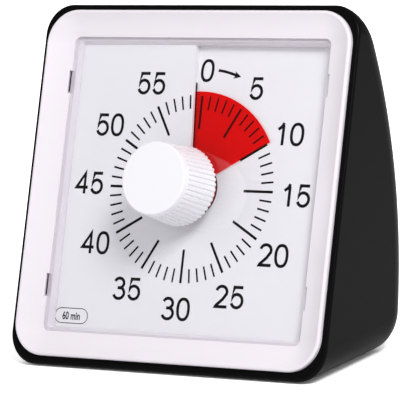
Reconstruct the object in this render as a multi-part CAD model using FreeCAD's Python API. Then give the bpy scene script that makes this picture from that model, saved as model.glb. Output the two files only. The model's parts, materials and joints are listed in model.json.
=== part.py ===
import FreeCAD, Part
import math
import os
from FreeCAD import Placement, Rotation, Vector

# Visual countdown timer: a wedge case with a leaning square face, a dial with
# a slit, a red disc that winds out of the slit, and a knob on the dial's axis.
# Millimetres. The row stands on its feet at Z 0, and its face looks along -Y.
# Face frame: x to the right, y up the face, z out of the face, 0 at the dial's centre.
# Rear frame: x to the viewer's right behind the case, y up, z out of the back wall.

# Face and dial
LEAN = 20.0
WINDOW_HALF = 52.9
PLATE_LAP = 2.7
PLATE_T = 1.2
PLATE_PITCH = 2.4
PLATE_EDGE_STEP = 4.5
PLATE_EDGE_R = 80.0
PLATE_HOLE_R = 11.0
SLIT_DEG = 94.0
SLIT_R = 39.4
STEP_WALL = 1.2

# Red disc
DISC_R = 36.0
DISC_T = 0.3
DISC_GAP = 0.4
DISC_SWEEP = 368.0
REST_MINUTES = 10.0
CARRIER_R = 9.0
CARRIER_BACK = -3.4
CARRIER_LENGTH = 5.0

# Bezel
BEZEL_HALF_Y = 64.5
BEZEL_FRONT = 8.3
BEZEL_BACK = -4.5
BEZEL_SKIRT = 0.6
BEZEL_CORNER_R = 12.5
BEZEL_EDGE_R = 0.8
BEZEL_LAND = 0.9
BEZEL_SKIN = 2.0
BEZEL_RING = 1.3
LIP_HALF = 55.0
LIP_Z = 4.3
LIP_CORNER_R = 2.5
DISH_SAG = 0.5

# Lens
LENS_T = 1.2
LENS_HOLE_R = 10.6
LENS_TAB_LENGTH = 8.0
LENS_TAB_REACH = 1.4
LENS_TAB_Y = 38.0

# Knob
KNOB_BASE_R = 14.7
KNOB_FRONT_R = 13.3
KNOB_BASE_Z = 6.4
KNOB_FRONT_Z = 25.6
KNOB_WALL = 1.9
KNOB_EDGE_R = 0.8
KNOB_BOSS_R = 5.2
KNOB_BOSS_Z = 4.8
KNOB_RIBS = 48
KNOB_GROOVE_R = 0.5

# Case
CASE_HALF = 67.3
RIM_SIDE = 2.3
CASE_WALL = 2.2
RIM_Z = 6.5
RIM_TOP = 66.8
RIM_BOTTOM = 68.1
RIM_EDGE_R = 1.0
REAR_DEPTH = 40.2
BACK_R = 185.0
BACK_PEAK = -7.0
BACK_CORNER_R = 15.5
TOP_R = 22.0
SIDE_R = 11.2

# Feet
FOOT_R = 5.0
FOOT_T = 1.5
FOOT_OUT = 0.5
FOOT_X = 48.0
FOOT_FRONT_Y = -15.0
FOOT_REAR_Y = 16.0

# Screws
SCREW_R = 1.2
SCREW_HEAD_R = 2.4
SCREW_HEAD_T = 1.6
SCREW_BITE = 6.0
BOSS_R = 3.2
COLUMN_R = 3.9
COLUMN_FLOOR = 6.0
CASE_SCREW_INSET = 8.8
CASE_SCREW_TOP = 44.0
CASE_SCREW_BOTTOM = -46.0
FRAME_SCREW_Y = 18.0

# Mounting plate and movement
MOUNT_HALF = 54.4
MOUNT_T = 1.5
PAD_SIZE = 3.0
PAD_OFFSET = 30.0
MOVEMENT_HALF = 28.0
MOVEMENT_DEPTH = 14.6
MOVEMENT_WALL = 1.4
MOVEMENT_SPLIT = 5.6
MOVEMENT_CORNER_R = 3.0
EAR_REACH = 7.0
EAR_WIDTH = 8.0

# Spindle
SPINDLE_R = 3.0
SPINDLE_TAIL_R = 2.5
SPINDLE_PIVOT_R = 1.5
SPINDLE_IN_KNOB = 14.0
COLLAR_R = 4.5
COLLAR_T = 0.6
CAM_R = 6.0
CAM_T = 1.0
RING_R = 4.0
RING_T = 0.4
SPRING_T = 0.3

# Gear train, from the wheel on the spindle to the rotor
CENTER_TEETH = 64
CENTER_MODULE = 0.5
CENTER_T = 1.2
CENTER_HOLES = 5
CENTER_HOLE_R = 3.4
CENTER_HOLE_RING = 10.0
THIRD_TEETH = 50
THIRD_MODULE = 0.4
SECOND_TEETH = 48
SECOND_MODULE = 0.35
FIRST_TEETH = 54
FIRST_MODULE = 0.3
PINION_TEETH = 8
ROOT_SHARE = 0.27
PITCH_SHARE = 0.19
TIP_SHARE = 0.09
ROTOR_TEETH = 9
WHEEL_T = 0.8
PINION_T = 1.5
LAYER_GAP = 0.6
THIRD_DEG = 150.0
SECOND_DEG = 45.0
FIRST_DEG = 0.0
ROTOR_DEG = -10.0
ARBOR_R = 0.6
ROTOR_R = 3.2
ROTOR_T = 2.8

# Coil, board and their parts
COIL_X = 20.0
COIL_LOW_Y = -14.0
COIL_HIGH_Y = 6.0
COIL_R = 3.6
CORE = 2.4
STATOR_T = 1.0
STATOR_LEG = 3.4
FLANGE_T = 1.0
BOARD_T = 1.0
BOARD_X = 40.0
BOARD_Y = 14.0
CRYSTAL_R = 1.0
CRYSTAL_L = 6.0

# Battery bay, in the rear frame
CELL_R = 7.25
CELL_L = 49.2
CELL_EDGE_R = 0.5
NUB_R = 2.75
NUB_L = 1.3
BAY_GAP = 0.7
BAY_ENDS = 3.2
BAY_WALL = 1.5
DOOR_LENGTH = 66.0
DOOR_HEIGHT = 24.0
DOOR_T = 1.8
DOOR_TRAVEL = 10.0
RECESS = 2.6
PAD_T = 2.0
HOOK_LENGTH = 4.0
HOOK_T = 1.0
HOOK_REACH = 1.5
DOOR_CORNER_R = 1.5
CONTACT_T = 0.4
CONTACT_SHY = 1.5
COIL_SPRING_R = 3.0
SPRING_WIRE_R = 0.4
SPRING_TURNS = 3
SPRING_BENDS = 8
DOOR_HEIGHT_BELOW = -24.0

# Alarm volume switch, in the rear frame
SWITCH_HEIGHT = 8.0
SWITCH_TRAVEL = 3.0
SWITCH_LENGTH = 18.0
SWITCH_WIDTH = 8.0
SWITCH_DEPTH = 5.0
PIN_LENGTH = 2.0
STEM_LENGTH = 3.2
STEM_WIDTH = 2.6
GRIP_T = 1.0

# Buzzer, in the rear frame
BUZZER_HEIGHT = 31.0
BUZZER_R = 13.6
BUZZER_DEPTH = 3.6
BUZZER_WALL = 1.0
LEDGE_BACK = 2.0
LEDGE_FRONT = 1.2
SOUND_HOLE_R = 0.9
SOUND_RING_R = 4.6
SOUND_HOLES = 6

# Leads
LEAD_R = 0.35
LEAD_PITCH = 4.5
LEAD_BEHIND = 1.4
LEAD_LOW = 41.0
TAB_LENGTH = 3.0

# Clearances
SLIP = 0.05
FIT = 0.1
LOOSE = 0.2
RUN = 0.3
OVER = 1.0

# Worked out from the sizes above
COS = math.cos(math.radians(LEAN))
SIN = math.sin(math.radians(LEAN))
PLATE_HALF = WINDOW_HALF + PLATE_LAP
PLATE_LOW = -PLATE_PITCH / 2
PLATE_HIGH = PLATE_PITCH / 2
LENS_FRONT = LIP_Z - LOOSE
LENS_BACK = LENS_FRONT - LENS_T
LEDGE_HALF = (LIP_HALF + WINDOW_HALF) / 2
RING_HALF = PLATE_HALF + FIT + BEZEL_RING
BEZEL_HALF_X = CASE_HALF - RIM_SIDE
MOUTH_HALF_X = BEZEL_HALF_X + FIT
MOUTH_HALF_Y = BEZEL_HALF_Y + FIT
MOUNT_FRONT = BEZEL_BACK
MOUNT_BACK = MOUNT_FRONT - MOUNT_T
MOUTH_FLOOR = BEZEL_SKIRT - FIT
CASE_SCREW_X = CASE_HALF - CASE_SCREW_INSET
BEHIND_CASE = -2 * REAR_DEPTH
CAVITY_FRONT = MOUTH_FLOOR + CASE_WALL
DIAL_Z = FOOT_OUT + RIM_BOTTOM * COS - RIM_Z * SIN
FRONT_REACH = (BEZEL_HALF_Y - BEZEL_EDGE_R) * SIN + (BEZEL_FRONT - BEZEL_EDGE_R) * COS + BEZEL_EDGE_R
DIAL_Y = (FRONT_REACH - REAR_DEPTH) / 2
ARC_Y = DIAL_Y + REAR_DEPTH - BACK_R
ARC_Z = DIAL_Z + BACK_PEAK
FACE = Placement(Vector(0, DIAL_Y, DIAL_Z), Rotation(Vector(1, 0, 0), 90 - LEAN))


def rear_frame(height):
    """Frame on the back wall at a height above the dial's centre."""
    z = DIAL_Z + height
    tilt = math.asin((ARC_Z - z) / BACK_R)
    origin = Vector(0, ARC_Y + BACK_R * math.cos(tilt), z)
    turn = Rotation(Vector(1, 0, 0), -math.degrees(tilt))
    turn = turn.multiply(Rotation(Vector(0, 0, 1), 180))
    turn = turn.multiply(Rotation(Vector(1, 0, 0), 90))
    return Placement(origin, turn)


BATTERY_FRAME = rear_frame(DOOR_HEIGHT_BELOW)
SWITCH_FRAME = rear_frame(SWITCH_HEIGHT)
BUZZER_FRAME = rear_frame(BUZZER_HEIGHT)


def placed(shape, frame):
    """Copy of a shape, moved from a local frame into the row's frame."""
    copy = shape.copy()
    copy.Placement = frame.multiply(copy.Placement)
    return copy


def box(x, y, z):
    """Box from three (low, high) pairs."""
    low = Vector(min(x), min(y), min(z))
    return Part.makeBox(abs(x[1] - x[0]), abs(y[1] - y[0]), abs(z[1] - z[0]), low)


def rod(radius, z, x=0.0, y=0.0):
    """Cylinder along z from a (low, high) pair."""
    return Part.makeCylinder(radius, abs(z[1] - z[0]), Vector(x, y, min(z)))


def tube(outer, inner, z, x=0.0, y=0.0):
    """Ring along z."""
    return rod(outer, z, x, y).cut(rod(inner, (z[0] - OVER, z[1] + OVER), x, y))


def rounded_wire(half_x, half_y, radius, z):
    """Closed rounded rectangle at height z."""
    edges = []
    corners = ((1, 1, 0), (-1, 1, 90), (-1, -1, 180), (1, -1, 270))
    points = []
    for sx, sy, start in corners:
        centre = Vector(sx * (half_x - radius), sy * (half_y - radius), z)
        ends = []
        for step in (0, 45, 90):
            angle = math.radians(start + step)
            ends.append(centre + Vector(math.cos(angle), math.sin(angle), 0) * radius)
        points.append(ends)
    for index, ends in enumerate(points):
        following = points[(index + 1) % 4]
        edges.append(Part.Arc(*ends).toShape())
        edges.append(Part.LineSegment(ends[2], following[0]).toShape())
    return Part.Wire(edges)


def rounded_block(half_x, half_y, radius, z):
    """Rounded rectangle extruded along z."""
    face = Part.Face(rounded_wire(half_x, half_y, radius, min(z)))
    return face.extrude(Vector(0, 0, abs(z[1] - z[0])))


def picked(shape, test):
    """Edges of a shape whose middle point passes a test."""
    found = []
    for edge in shape.Edges:
        middle = edge.valueAt((edge.FirstParameter + edge.LastParameter) / 2)
        if test(edge, middle):
            found.append(edge)
    return found


def bent_wire(points, wire_r):
    """Round wire through points, with a wide arc at each bend."""
    edges = []
    start = points[0]
    for index in range(1, len(points) - 1):
        before = points[index - 1] - points[index]
        after = points[index + 1] - points[index]
        turn = math.pi - before.getAngle(after)
        run = 0.45 * min(before.Length, after.Length)
        first = points[index] + before.normalize() * run
        last = points[index] + after.normalize() * run
        radius = run / math.tan(turn / 2)
        bisector = (before + after).normalize()
        centre = points[index] + bisector * (radius / math.cos(turn / 2))
        middle = centre - bisector * radius
        edges.append(Part.LineSegment(start, first).toShape())
        edges.append(Part.Arc(first, middle, last).toShape())
        start = last
    edges.append(Part.LineSegment(start, points[-1]).toShape())
    path = Part.Wire(edges)
    way = (points[1] - points[0]).normalize()
    profile = Part.Wire(Part.Circle(points[0], way, wire_r).toShape())
    solid = path.makePipeShell([profile], True, True)
    print("wire", round(path.Length, 1), "mm long")
    return solid


def save(name, shape):
    """Write one node, and print its count of solids and volume."""
    shape.exportStep("parts/" + name + ".step")
    print(name, len(shape.Solids), "solids", round(shape.Volume, 1), "mm3", shape.isValid())


# Dial plate and red disc: sheets that climb like a screw


def plate_level(angle):
    """Height of the plate's face inside the slit's reach, at an angle clockwise of the slit."""
    return PLATE_LOW + PLATE_PITCH * (SLIT_DEG - angle) / 360


def climbing_edge(radius, levels, angles):
    """Edge that climbs evenly from one angle to another."""
    count = 24
    points = []
    for index in range(count + 1):
        share = index / count
        angle = math.radians(angles[0] + (angles[1] - angles[0]) * share)
        level = levels[0] + (levels[1] - levels[0]) * share
        points.append(Vector(radius * math.cos(angle), radius * math.sin(angle), level))
    curve = Part.BSplineCurve()
    curve.interpolate(points)
    return curve.toShape()


def climbing_sheet(radii, levels, angles, thickness):
    """Solid sheet through rings that climb, each ring with its own first and last level."""
    front = [climbing_edge(r, pair, angles) for r, pair in zip(radii, levels)]
    lowered = [(pair[0] - thickness, pair[1] - thickness) for pair in levels]
    back = [climbing_edge(r, pair, angles) for r, pair in zip(radii, lowered)]
    faces = [Part.makeRuledSurface(front[0], back[0]), Part.makeRuledSurface(front[-1], back[-1])]
    for side in (front, back):
        for inner, outer in zip(side, side[1:]):
            faces.append(Part.makeRuledSurface(inner, outer))
    for end in (0, 1):
        angle = math.radians(angles[end])
        reach = Vector(math.cos(angle), math.sin(angle), 0)
        for index in range(len(radii) - 1):
            near = reach * radii[index]
            far = reach * radii[index + 1]
            corners = [
                near + Vector(0, 0, levels[index][end]),
                far + Vector(0, 0, levels[index + 1][end]),
                far + Vector(0, 0, lowered[index + 1][end]),
                near + Vector(0, 0, lowered[index][end]),
            ]
            faces.append(Part.Face(Part.makePolygon(corners + corners[:1])))
    shell = Part.makeShell(faces)
    shell.sewShape()
    solid = Part.Solid(Part.Shell(shell.Faces))
    if solid.Volume < 0:
        solid.reverse()
    return solid


def plate_slab(half, first_radius, thickness, lift=0.0):
    """Square part of the plate's climbing sheet."""
    low = PLATE_LOW + lift
    high = PLATE_HIGH + lift
    reach = (PLATE_EDGE_R - SLIT_R) / (half * math.sqrt(2) + OVER - SLIT_R)
    outer_r = SLIT_R + (PLATE_EDGE_R - SLIT_R) / min(reach, 1.0)
    drop = (PLATE_EDGE_STEP - PLATE_PITCH) * (outer_r - SLIT_R) / (PLATE_EDGE_R - SLIT_R)
    radii = [first_radius, SLIT_R, outer_r]
    levels = [(low, high), (low, high), (low - drop, high)]
    sheet = climbing_sheet(radii, levels, (SLIT_DEG, SLIT_DEG - 360), thickness)
    depth = thickness + PLATE_EDGE_STEP + PLATE_PITCH
    return sheet.common(box((-half, half), (-half, half), (-depth, high + OVER)))


def step_wall():
    """Wall that joins the two edges of the plate beyond the slit."""
    drop = PLATE_EDGE_STEP - PLATE_PITCH
    depth = (PLATE_LOW - drop - PLATE_T, PLATE_HIGH - PLATE_T / 3)
    wall = box((SLIT_R, PLATE_EDGE_R), (0, STEP_WALL), depth)
    wall.rotate(Vector(0, 0, 0), Vector(0, 0, 1), SLIT_DEG)
    across = (-PLATE_HALF, PLATE_HALF)
    inside = box(across, across, (-PLATE_EDGE_STEP - PLATE_T, PLATE_HIGH))
    return wall.common(inside)


def dial_plate():
    plate = plate_slab(PLATE_HALF, PLATE_HOLE_R, PLATE_T)
    return plate.fuse(step_wall())


def red_disc():
    lead = 90 - REST_MINUTES * 6
    first = plate_level(lead) + DISC_GAP + DISC_T
    last = first - PLATE_PITCH * DISC_SWEEP / 360
    radii = [CARRIER_R + SLIP, DISC_R]
    levels = [(first, last), (first, last)]
    return climbing_sheet(radii, levels, (lead, lead + DISC_SWEEP), DISC_T)


def disc_carrier():
    front = CARRIER_BACK + CARRIER_LENGTH
    carrier = tube(CARRIER_R, SPINDLE_R + SLIP, (CARRIER_BACK, front))
    hollow = (front - MOVEMENT_WALL, front + OVER)
    relief = tube(CARRIER_R - MOVEMENT_WALL, SPINDLE_R + 2 * MOVEMENT_WALL, hollow)
    return carrier.cut(relief)


# Bezel and lens


def bezel_dish():
    """Space in front of the sloping frame."""
    land = BEZEL_LAND
    rise = BEZEL_FRONT + FIT - LIP_Z
    middle_x = (LIP_HALF + BEZEL_HALF_X - land) / 2
    middle_y = (LIP_HALF + BEZEL_HALF_Y - land) / 2
    wires = [
        rounded_wire(LIP_HALF, LIP_HALF, LIP_CORNER_R, LIP_Z),
        rounded_wire(middle_x, middle_y, (LIP_CORNER_R + BEZEL_CORNER_R) / 2, LIP_Z + rise / 2 - DISH_SAG),
        rounded_wire(BEZEL_HALF_X - land, BEZEL_HALF_Y - land, BEZEL_CORNER_R - land, LIP_Z + rise),
    ]
    return Part.makeLoft(wires, True, False)


def frame_screw_spots():
    """Places of the screws that hold the mounting plate, two at each side."""
    return [(side * CASE_SCREW_X, y) for side in (-1, 1) for y in (-FRAME_SCREW_Y, FRAME_SCREW_Y)]


def case_screw_spots():
    """Places of the screws that close the case."""
    spots = []
    for side in (-1, 1):
        for height in (CASE_SCREW_TOP, CASE_SCREW_BOTTOM):
            spots.append((side * CASE_SCREW_X, height))
    return spots


def tab_places():
    """Places of the lens's tabs, as (side, height)."""
    return [(side, height) for side in (-1, 1) for height in (-LENS_TAB_Y, LENS_TAB_Y)]


def slit_room():
    """Space under the bezel's window for the plate's step wall."""
    drop = (PLATE_EDGE_STEP - PLATE_PITCH) * (WINDOW_HALF - SLIT_R) / (PLATE_EDGE_R - SLIT_R)
    room = box((SLIT_R, PLATE_EDGE_R), (-SLIP, STEP_WALL), (BEZEL_BACK - OVER, PLATE_LOW + FIT - drop))
    room.rotate(Vector(0, 0, 0), Vector(0, 0, 1), SLIT_DEG)
    half = PLATE_HALF + FIT
    return room.common(box((-half, half), (-half, half), (BEZEL_BACK - 2 * OVER, PLATE_HIGH)))


def front_bezel():
    block = rounded_block(BEZEL_HALF_X, BEZEL_HALF_Y, BEZEL_CORNER_R, (BEZEL_SKIRT, BEZEL_FRONT))
    rim = picked(block, lambda edge, middle: abs(middle.z - BEZEL_FRONT) < 1e-6)
    block = block.makeFillet(BEZEL_EDGE_R, rim)
    pocket = rounded_block(LIP_HALF, LIP_HALF, LIP_CORNER_R, (LENS_BACK, LIP_Z + FIT))
    throat = Part.makeLoft(
        [
            rounded_wire(WINDOW_HALF, WINDOW_HALF, LIP_CORNER_R / 2, PLATE_HIGH - FIT),
            rounded_wire(LEDGE_HALF, LEDGE_HALF, LIP_CORNER_R / 2, LENS_BACK + FIT),
        ],
        True,
        True,
    )
    window = rounded_block(WINDOW_HALF, WINDOW_HALF, LIP_CORNER_R / 2, (BEZEL_BACK - OVER, PLATE_HIGH))
    under = LIP_Z - BEZEL_SKIN
    skirt_x = BEZEL_HALF_X - BEZEL_SKIN
    skirt_y = BEZEL_HALF_Y - BEZEL_SKIN
    inner_r = BEZEL_CORNER_R - BEZEL_SKIN
    channel = rounded_block(skirt_x, skirt_y, inner_r, (BEZEL_BACK - OVER, under))
    inner = (BEZEL_BACK - 2 * OVER, under + OVER)
    channel = channel.cut(rounded_block(RING_HALF, RING_HALF, LIP_CORNER_R, inner))
    upper = rounded_block(skirt_x, skirt_y, inner_r, (under - OVER, under + BEZEL_SKIN))
    step = (RING_HALF + skirt_y) / 2
    upper = upper.cut(rounded_block(step, step, LIP_CORNER_R, (under - 2 * OVER, BEZEL_FRONT)))
    channel = channel.fuse(upper)
    spots = frame_screw_spots() + case_screw_spots()
    channel = channel.cut([rod(BOSS_R, (BEZEL_BACK - 2 * OVER, BEZEL_FRONT), x, y) for x, y in spots])
    ring = rounded_block(RING_HALF, RING_HALF, LIP_CORNER_R, (BEZEL_BACK, under))
    block = block.multiFuse([ring] + [rod(BOSS_R, (BEZEL_BACK, under), x, y) for x, y in spots])
    seat = plate_slab(PLATE_HALF + FIT, SLIT_R - OVER, abs(BEZEL_BACK) + 2 * PLATE_EDGE_STEP, FIT)
    tools = [bezel_dish(), pocket, throat, window, channel, seat, slit_room()]
    for side, height in tab_places():
        slot_x = (side * (LIP_HALF - OVER), side * (LIP_HALF + LENS_TAB_REACH + LOOSE))
        slot_y = (height - LENS_TAB_LENGTH / 2 - LOOSE, height + LENS_TAB_LENGTH / 2 + LOOSE)
        tools.append(box(slot_x, slot_y, (LENS_BACK, LENS_FRONT + 2 * LOOSE)))
    pilot = (BEZEL_BACK - OVER, BEZEL_BACK + SCREW_BITE + LOOSE)
    tools += [rod(SCREW_R + SLIP, pilot, x, y) for x, y in spots]
    bezel = block
    for tool in tools:
        bezel = bezel.cut(tool)
    return bezel


def clear_lens():
    half = LIP_HALF - FIT
    sheet = rounded_block(half, half, LIP_CORNER_R - FIT, (LENS_BACK + SLIP, LENS_FRONT))
    for side, height in tab_places():
        tab_x = (side * (half - OVER), side * (LIP_HALF + LENS_TAB_REACH))
        tab_y = (height - LENS_TAB_LENGTH / 2, height + LENS_TAB_LENGTH / 2)
        sheet = sheet.fuse(box(tab_x, tab_y, (LENS_BACK + SLIP, LENS_FRONT)))
    return sheet.cut(rod(LENS_HOLE_R, (LENS_BACK - OVER, LENS_FRONT + OVER))).removeSplitter()


# Knob and spindle


def knob():
    length = KNOB_FRONT_Z - KNOB_BASE_Z
    base = Vector(0, 0, KNOB_BASE_Z)
    outer = Part.makeCone(KNOB_BASE_R, KNOB_FRONT_R, length, base)
    slope = math.atan((KNOB_BASE_R - KNOB_FRONT_R) / length)
    front_edge = picked(outer, lambda edge, middle: abs(middle.z - KNOB_FRONT_Z) < 1e-6)
    outer = outer.makeFillet(KNOB_EDGE_R, front_edge)
    grooves = []
    groove_length = (length - KNOB_EDGE_R - KNOB_WALL) / math.cos(slope)
    for index in range(KNOB_RIBS):
        angle = 360 * index / KNOB_RIBS
        groove = Part.makeCylinder(
            KNOB_GROOVE_R,
            groove_length + OVER,
            Vector(KNOB_BASE_R + math.sin(slope) * OVER, 0, KNOB_BASE_Z - OVER),
            Vector(-math.sin(slope), 0, math.cos(slope)),
        )
        groove.rotate(Vector(0, 0, 0), Vector(0, 0, 1), angle)
        grooves.append(groove)
    hollow_length = length - KNOB_WALL
    hollow = Part.makeCone(
        KNOB_BASE_R - KNOB_WALL,
        KNOB_BASE_R - KNOB_WALL - math.tan(slope) * hollow_length,
        hollow_length,
        base,
    )
    shell = outer.cut(hollow)
    webs = []
    for angle in (0, 90):
        web = box(
            (-KNOB_BASE_R + KNOB_WALL / 2, KNOB_BASE_R - KNOB_WALL / 2),
            (-KNOB_WALL / 3, KNOB_WALL / 3),
            (KNOB_BASE_Z + KNOB_WALL, KNOB_FRONT_Z - KNOB_WALL / 2),
        )
        web.rotate(Vector(0, 0, 0), Vector(0, 0, 1), angle)
        webs.append(web.common(outer))
    boss = rod(KNOB_BOSS_R, (KNOB_BOSS_Z, KNOB_FRONT_Z - KNOB_WALL / 2))
    body = shell.multiFuse(webs + [boss])
    body = body.cut(rod(SPINDLE_R + SLIP, (KNOB_BOSS_Z - OVER, spindle_front() + LOOSE)))
    return body.cut(Part.makeCompound(grooves))


def spindle_front():
    """Front end of the spindle, inside the knob's boss."""
    return KNOB_BOSS_Z + SPINDLE_IN_KNOB


MOVEMENT_FRONT = MOUNT_BACK
MOVEMENT_BACK = MOVEMENT_FRONT - MOVEMENT_DEPTH
ROOM_FRONT = MOVEMENT_FRONT - MOVEMENT_WALL
ROOM_BACK = MOVEMENT_BACK + MOVEMENT_WALL
CENTER_BACK = ROOM_BACK + 1.3
CENTER_FRONT = CENTER_BACK + CENTER_T
COLLAR_BACK = CENTER_FRONT + FIT
CAM_BACK = ROOM_FRONT - 2.0
PIVOT_DEPTH = MOVEMENT_WALL * 0.6


def spindle():
    front = rod(SPINDLE_R, (COLLAR_BACK, spindle_front()))
    collar = rod(COLLAR_R, (COLLAR_BACK, COLLAR_BACK + COLLAR_T))
    tail = rod(SPINDLE_TAIL_R, (ROOM_BACK + FIT, COLLAR_BACK))
    pivot = rod(SPINDLE_PIVOT_R, (ROOM_BACK - PIVOT_DEPTH + FIT, ROOM_BACK + OVER))
    return front.multiFuse([collar, tail, pivot])


def clutch_spring():
    return tube(RING_R, SPINDLE_TAIL_R + SLIP, (CENTER_BACK - SLIP - SPRING_T, CENTER_BACK - SLIP))


def retaining_ring():
    front = CENTER_BACK - 2 * SLIP - SPRING_T
    ring = tube(RING_R, SPINDLE_TAIL_R, (front - RING_T, front))
    half = SPINDLE_PIVOT_R / 2
    gap = box((0, RING_R + OVER), (-half, half), (front - 2 * RING_T, front + RING_T))
    return ring.cut(gap)


def alarm_cam():
    cam = tube(CAM_R, SPINDLE_R, (CAM_BACK, CAM_BACK + CAM_T))
    notch = box((-CAM_T, CAM_T), (CAM_R - CAM_T, CAM_R + OVER), (CAM_BACK - OVER, CAM_BACK + CAM_T + OVER))
    notch.rotate(Vector(0, 0, 0), Vector(0, 0, 1), 180 - REST_MINUTES * 6)
    return cam.cut(notch)


# Gear train


def gear_outline(teeth, module, phase, z):
    """Closed outline of a gear's teeth, with one tooth centred on the phase angle."""
    pitch_r = teeth * module / 2
    tip_r = pitch_r + 0.8 * module
    root_r = pitch_r - 1.05 * module
    step = 360 / teeth
    points = []
    rising = ((root_r, -ROOT_SHARE), (pitch_r, -PITCH_SHARE), (tip_r, -TIP_SHARE))
    falling = ((tip_r, TIP_SHARE), (pitch_r, PITCH_SHARE), (root_r, ROOT_SHARE))
    profile = rising + falling
    for index in range(teeth):
        for radius, share in profile:
            angle = math.radians(phase + step * (index + share))
            points.append(Vector(radius * math.cos(angle), radius * math.sin(angle), z))
    return Part.makePolygon(points + points[:1])


def gear(teeth, module, phase, z, spot=(0.0, 0.0)):
    """Toothed disc along z."""
    face = Part.Face(gear_outline(teeth, module, phase, min(z)))
    solid = face.extrude(Vector(0, 0, abs(z[1] - z[0])))
    solid.translate(Vector(spot[0], spot[1], 0))
    return solid


def mesh_phase(teeth, module, phase, direction, other_teeth):
    """Phase that puts a gap of the second gear on a tooth of the first, along a direction."""
    step = 360 / teeth
    offset = (phase - direction) % step
    arc = math.radians(offset) * teeth * module / 2 + math.pi * module / 2
    return direction + 180 - math.degrees(arc / (other_teeth * module / 2))


def step_out(spot, distance, direction):
    """Point at a distance and direction from a spot."""
    angle = math.radians(direction)
    return (spot[0] + distance * math.cos(angle), spot[1] + distance * math.sin(angle))


CENTER_SPOT = (0.0, 0.0)
THIRD_SPOT = step_out(CENTER_SPOT, (CENTER_TEETH + PINION_TEETH) * CENTER_MODULE / 2, THIRD_DEG)
SECOND_SPOT = step_out(THIRD_SPOT, (THIRD_TEETH + PINION_TEETH) * THIRD_MODULE / 2, SECOND_DEG)
FIRST_SPOT = step_out(SECOND_SPOT, (SECOND_TEETH + PINION_TEETH) * SECOND_MODULE / 2, FIRST_DEG)
ROTOR_SPOT = step_out(FIRST_SPOT, (FIRST_TEETH + ROTOR_TEETH) * FIRST_MODULE / 2, ROTOR_DEG)
THIRD_PINION_BACK = CENTER_BACK + (CENTER_T - PINION_T) / 2
THIRD_WHEEL_BACK = THIRD_PINION_BACK + PINION_T + LAYER_GAP
SECOND_PINION_BACK = THIRD_WHEEL_BACK + (WHEEL_T - PINION_T) / 2
SECOND_WHEEL_BACK = SECOND_PINION_BACK + PINION_T + LAYER_GAP
FIRST_PINION_BACK = SECOND_WHEEL_BACK + (WHEEL_T - PINION_T) / 2
FIRST_WHEEL_BACK = FIRST_PINION_BACK + PINION_T + LAYER_GAP
ROTOR_PINION_BACK = FIRST_WHEEL_BACK + (WHEEL_T - PINION_T) / 2
ROTOR_BACK = COLLAR_BACK + COLLAR_T + LOOSE
ROTOR_FRONT = ROTOR_BACK + ROTOR_T


def arbor(spot):
    """Pin of a wheel, with its ends in the case's bearing holes."""
    ends = (ROOM_BACK - PIVOT_DEPTH + FIT, ROOM_FRONT + PIVOT_DEPTH - FIT)
    return rod(ARBOR_R, ends, spot[0], spot[1])


def center_wheel():
    wheel = gear(CENTER_TEETH, CENTER_MODULE, 0, (CENTER_BACK, CENTER_FRONT))
    through = (CENTER_BACK - OVER, CENTER_FRONT + OVER)
    lighten = []
    for angle in range(0, 360, 360 // CENTER_HOLES):
        spot = step_out(CENTER_SPOT, CENTER_HOLE_RING, angle)
        lighten.append(rod(CENTER_HOLE_R, through, *spot))
    wheel = wheel.cut(Part.makeCompound(lighten))
    return wheel.cut(rod(SPINDLE_TAIL_R + SLIP, (CENTER_BACK - OVER, CENTER_FRONT + OVER)))


def train_wheel(spot, pinion, pinion_back, wheel, wheel_back):
    """Wheel and pinion on one arbor. pinion and wheel are (teeth, module, phase)."""
    small = gear(*pinion, (pinion_back, pinion_back + PINION_T), spot)
    large = gear(*wheel, (wheel_back, wheel_back + WHEEL_T), spot)
    return large.multiFuse([small, arbor(spot)])


THIRD_PINION_PHASE = mesh_phase(CENTER_TEETH, CENTER_MODULE, 0, THIRD_DEG, PINION_TEETH)
SECOND_PINION_PHASE = mesh_phase(THIRD_TEETH, THIRD_MODULE, 0, SECOND_DEG, PINION_TEETH)
FIRST_PINION_PHASE = mesh_phase(SECOND_TEETH, SECOND_MODULE, 0, FIRST_DEG, PINION_TEETH)
ROTOR_PINION_PHASE = mesh_phase(FIRST_TEETH, FIRST_MODULE, 0, ROTOR_DEG, ROTOR_TEETH)


def third_wheel():
    pinion = (PINION_TEETH, CENTER_MODULE, THIRD_PINION_PHASE)
    wheel = (THIRD_TEETH, THIRD_MODULE, 0)
    return train_wheel(THIRD_SPOT, pinion, THIRD_PINION_BACK, wheel, THIRD_WHEEL_BACK)


def second_wheel():
    pinion = (PINION_TEETH, THIRD_MODULE, SECOND_PINION_PHASE)
    wheel = (SECOND_TEETH, SECOND_MODULE, 0)
    return train_wheel(SECOND_SPOT, pinion, SECOND_PINION_BACK, wheel, SECOND_WHEEL_BACK)


def first_wheel():
    pinion = (PINION_TEETH, SECOND_MODULE, FIRST_PINION_PHASE)
    wheel = (FIRST_TEETH, FIRST_MODULE, 0)
    return train_wheel(FIRST_SPOT, pinion, FIRST_PINION_BACK, wheel, FIRST_WHEEL_BACK)


def rotor():
    pinion_z = (ROTOR_PINION_BACK, ROTOR_PINION_BACK + PINION_T)
    pinion = gear(ROTOR_TEETH, FIRST_MODULE, ROTOR_PINION_PHASE, pinion_z, ROTOR_SPOT)
    magnet = rod(ROTOR_R, (ROTOR_BACK, ROTOR_FRONT), *ROTOR_SPOT)
    return magnet.multiFuse([pinion, arbor(ROTOR_SPOT)])


# Coil, stator and board

STATOR_Z = (ROTOR_BACK + ROTOR_FRONT) / 2
COIL_Z = ROOM_BACK + COIL_R + FLANGE_T + 2 * LOOSE + CENTER_T + 1.3
LEG_X = ROTOR_SPOT[0]
BAR_Y = COIL_LOW_Y - FLANGE_T - STATOR_LEG / 2 - FIT


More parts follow.
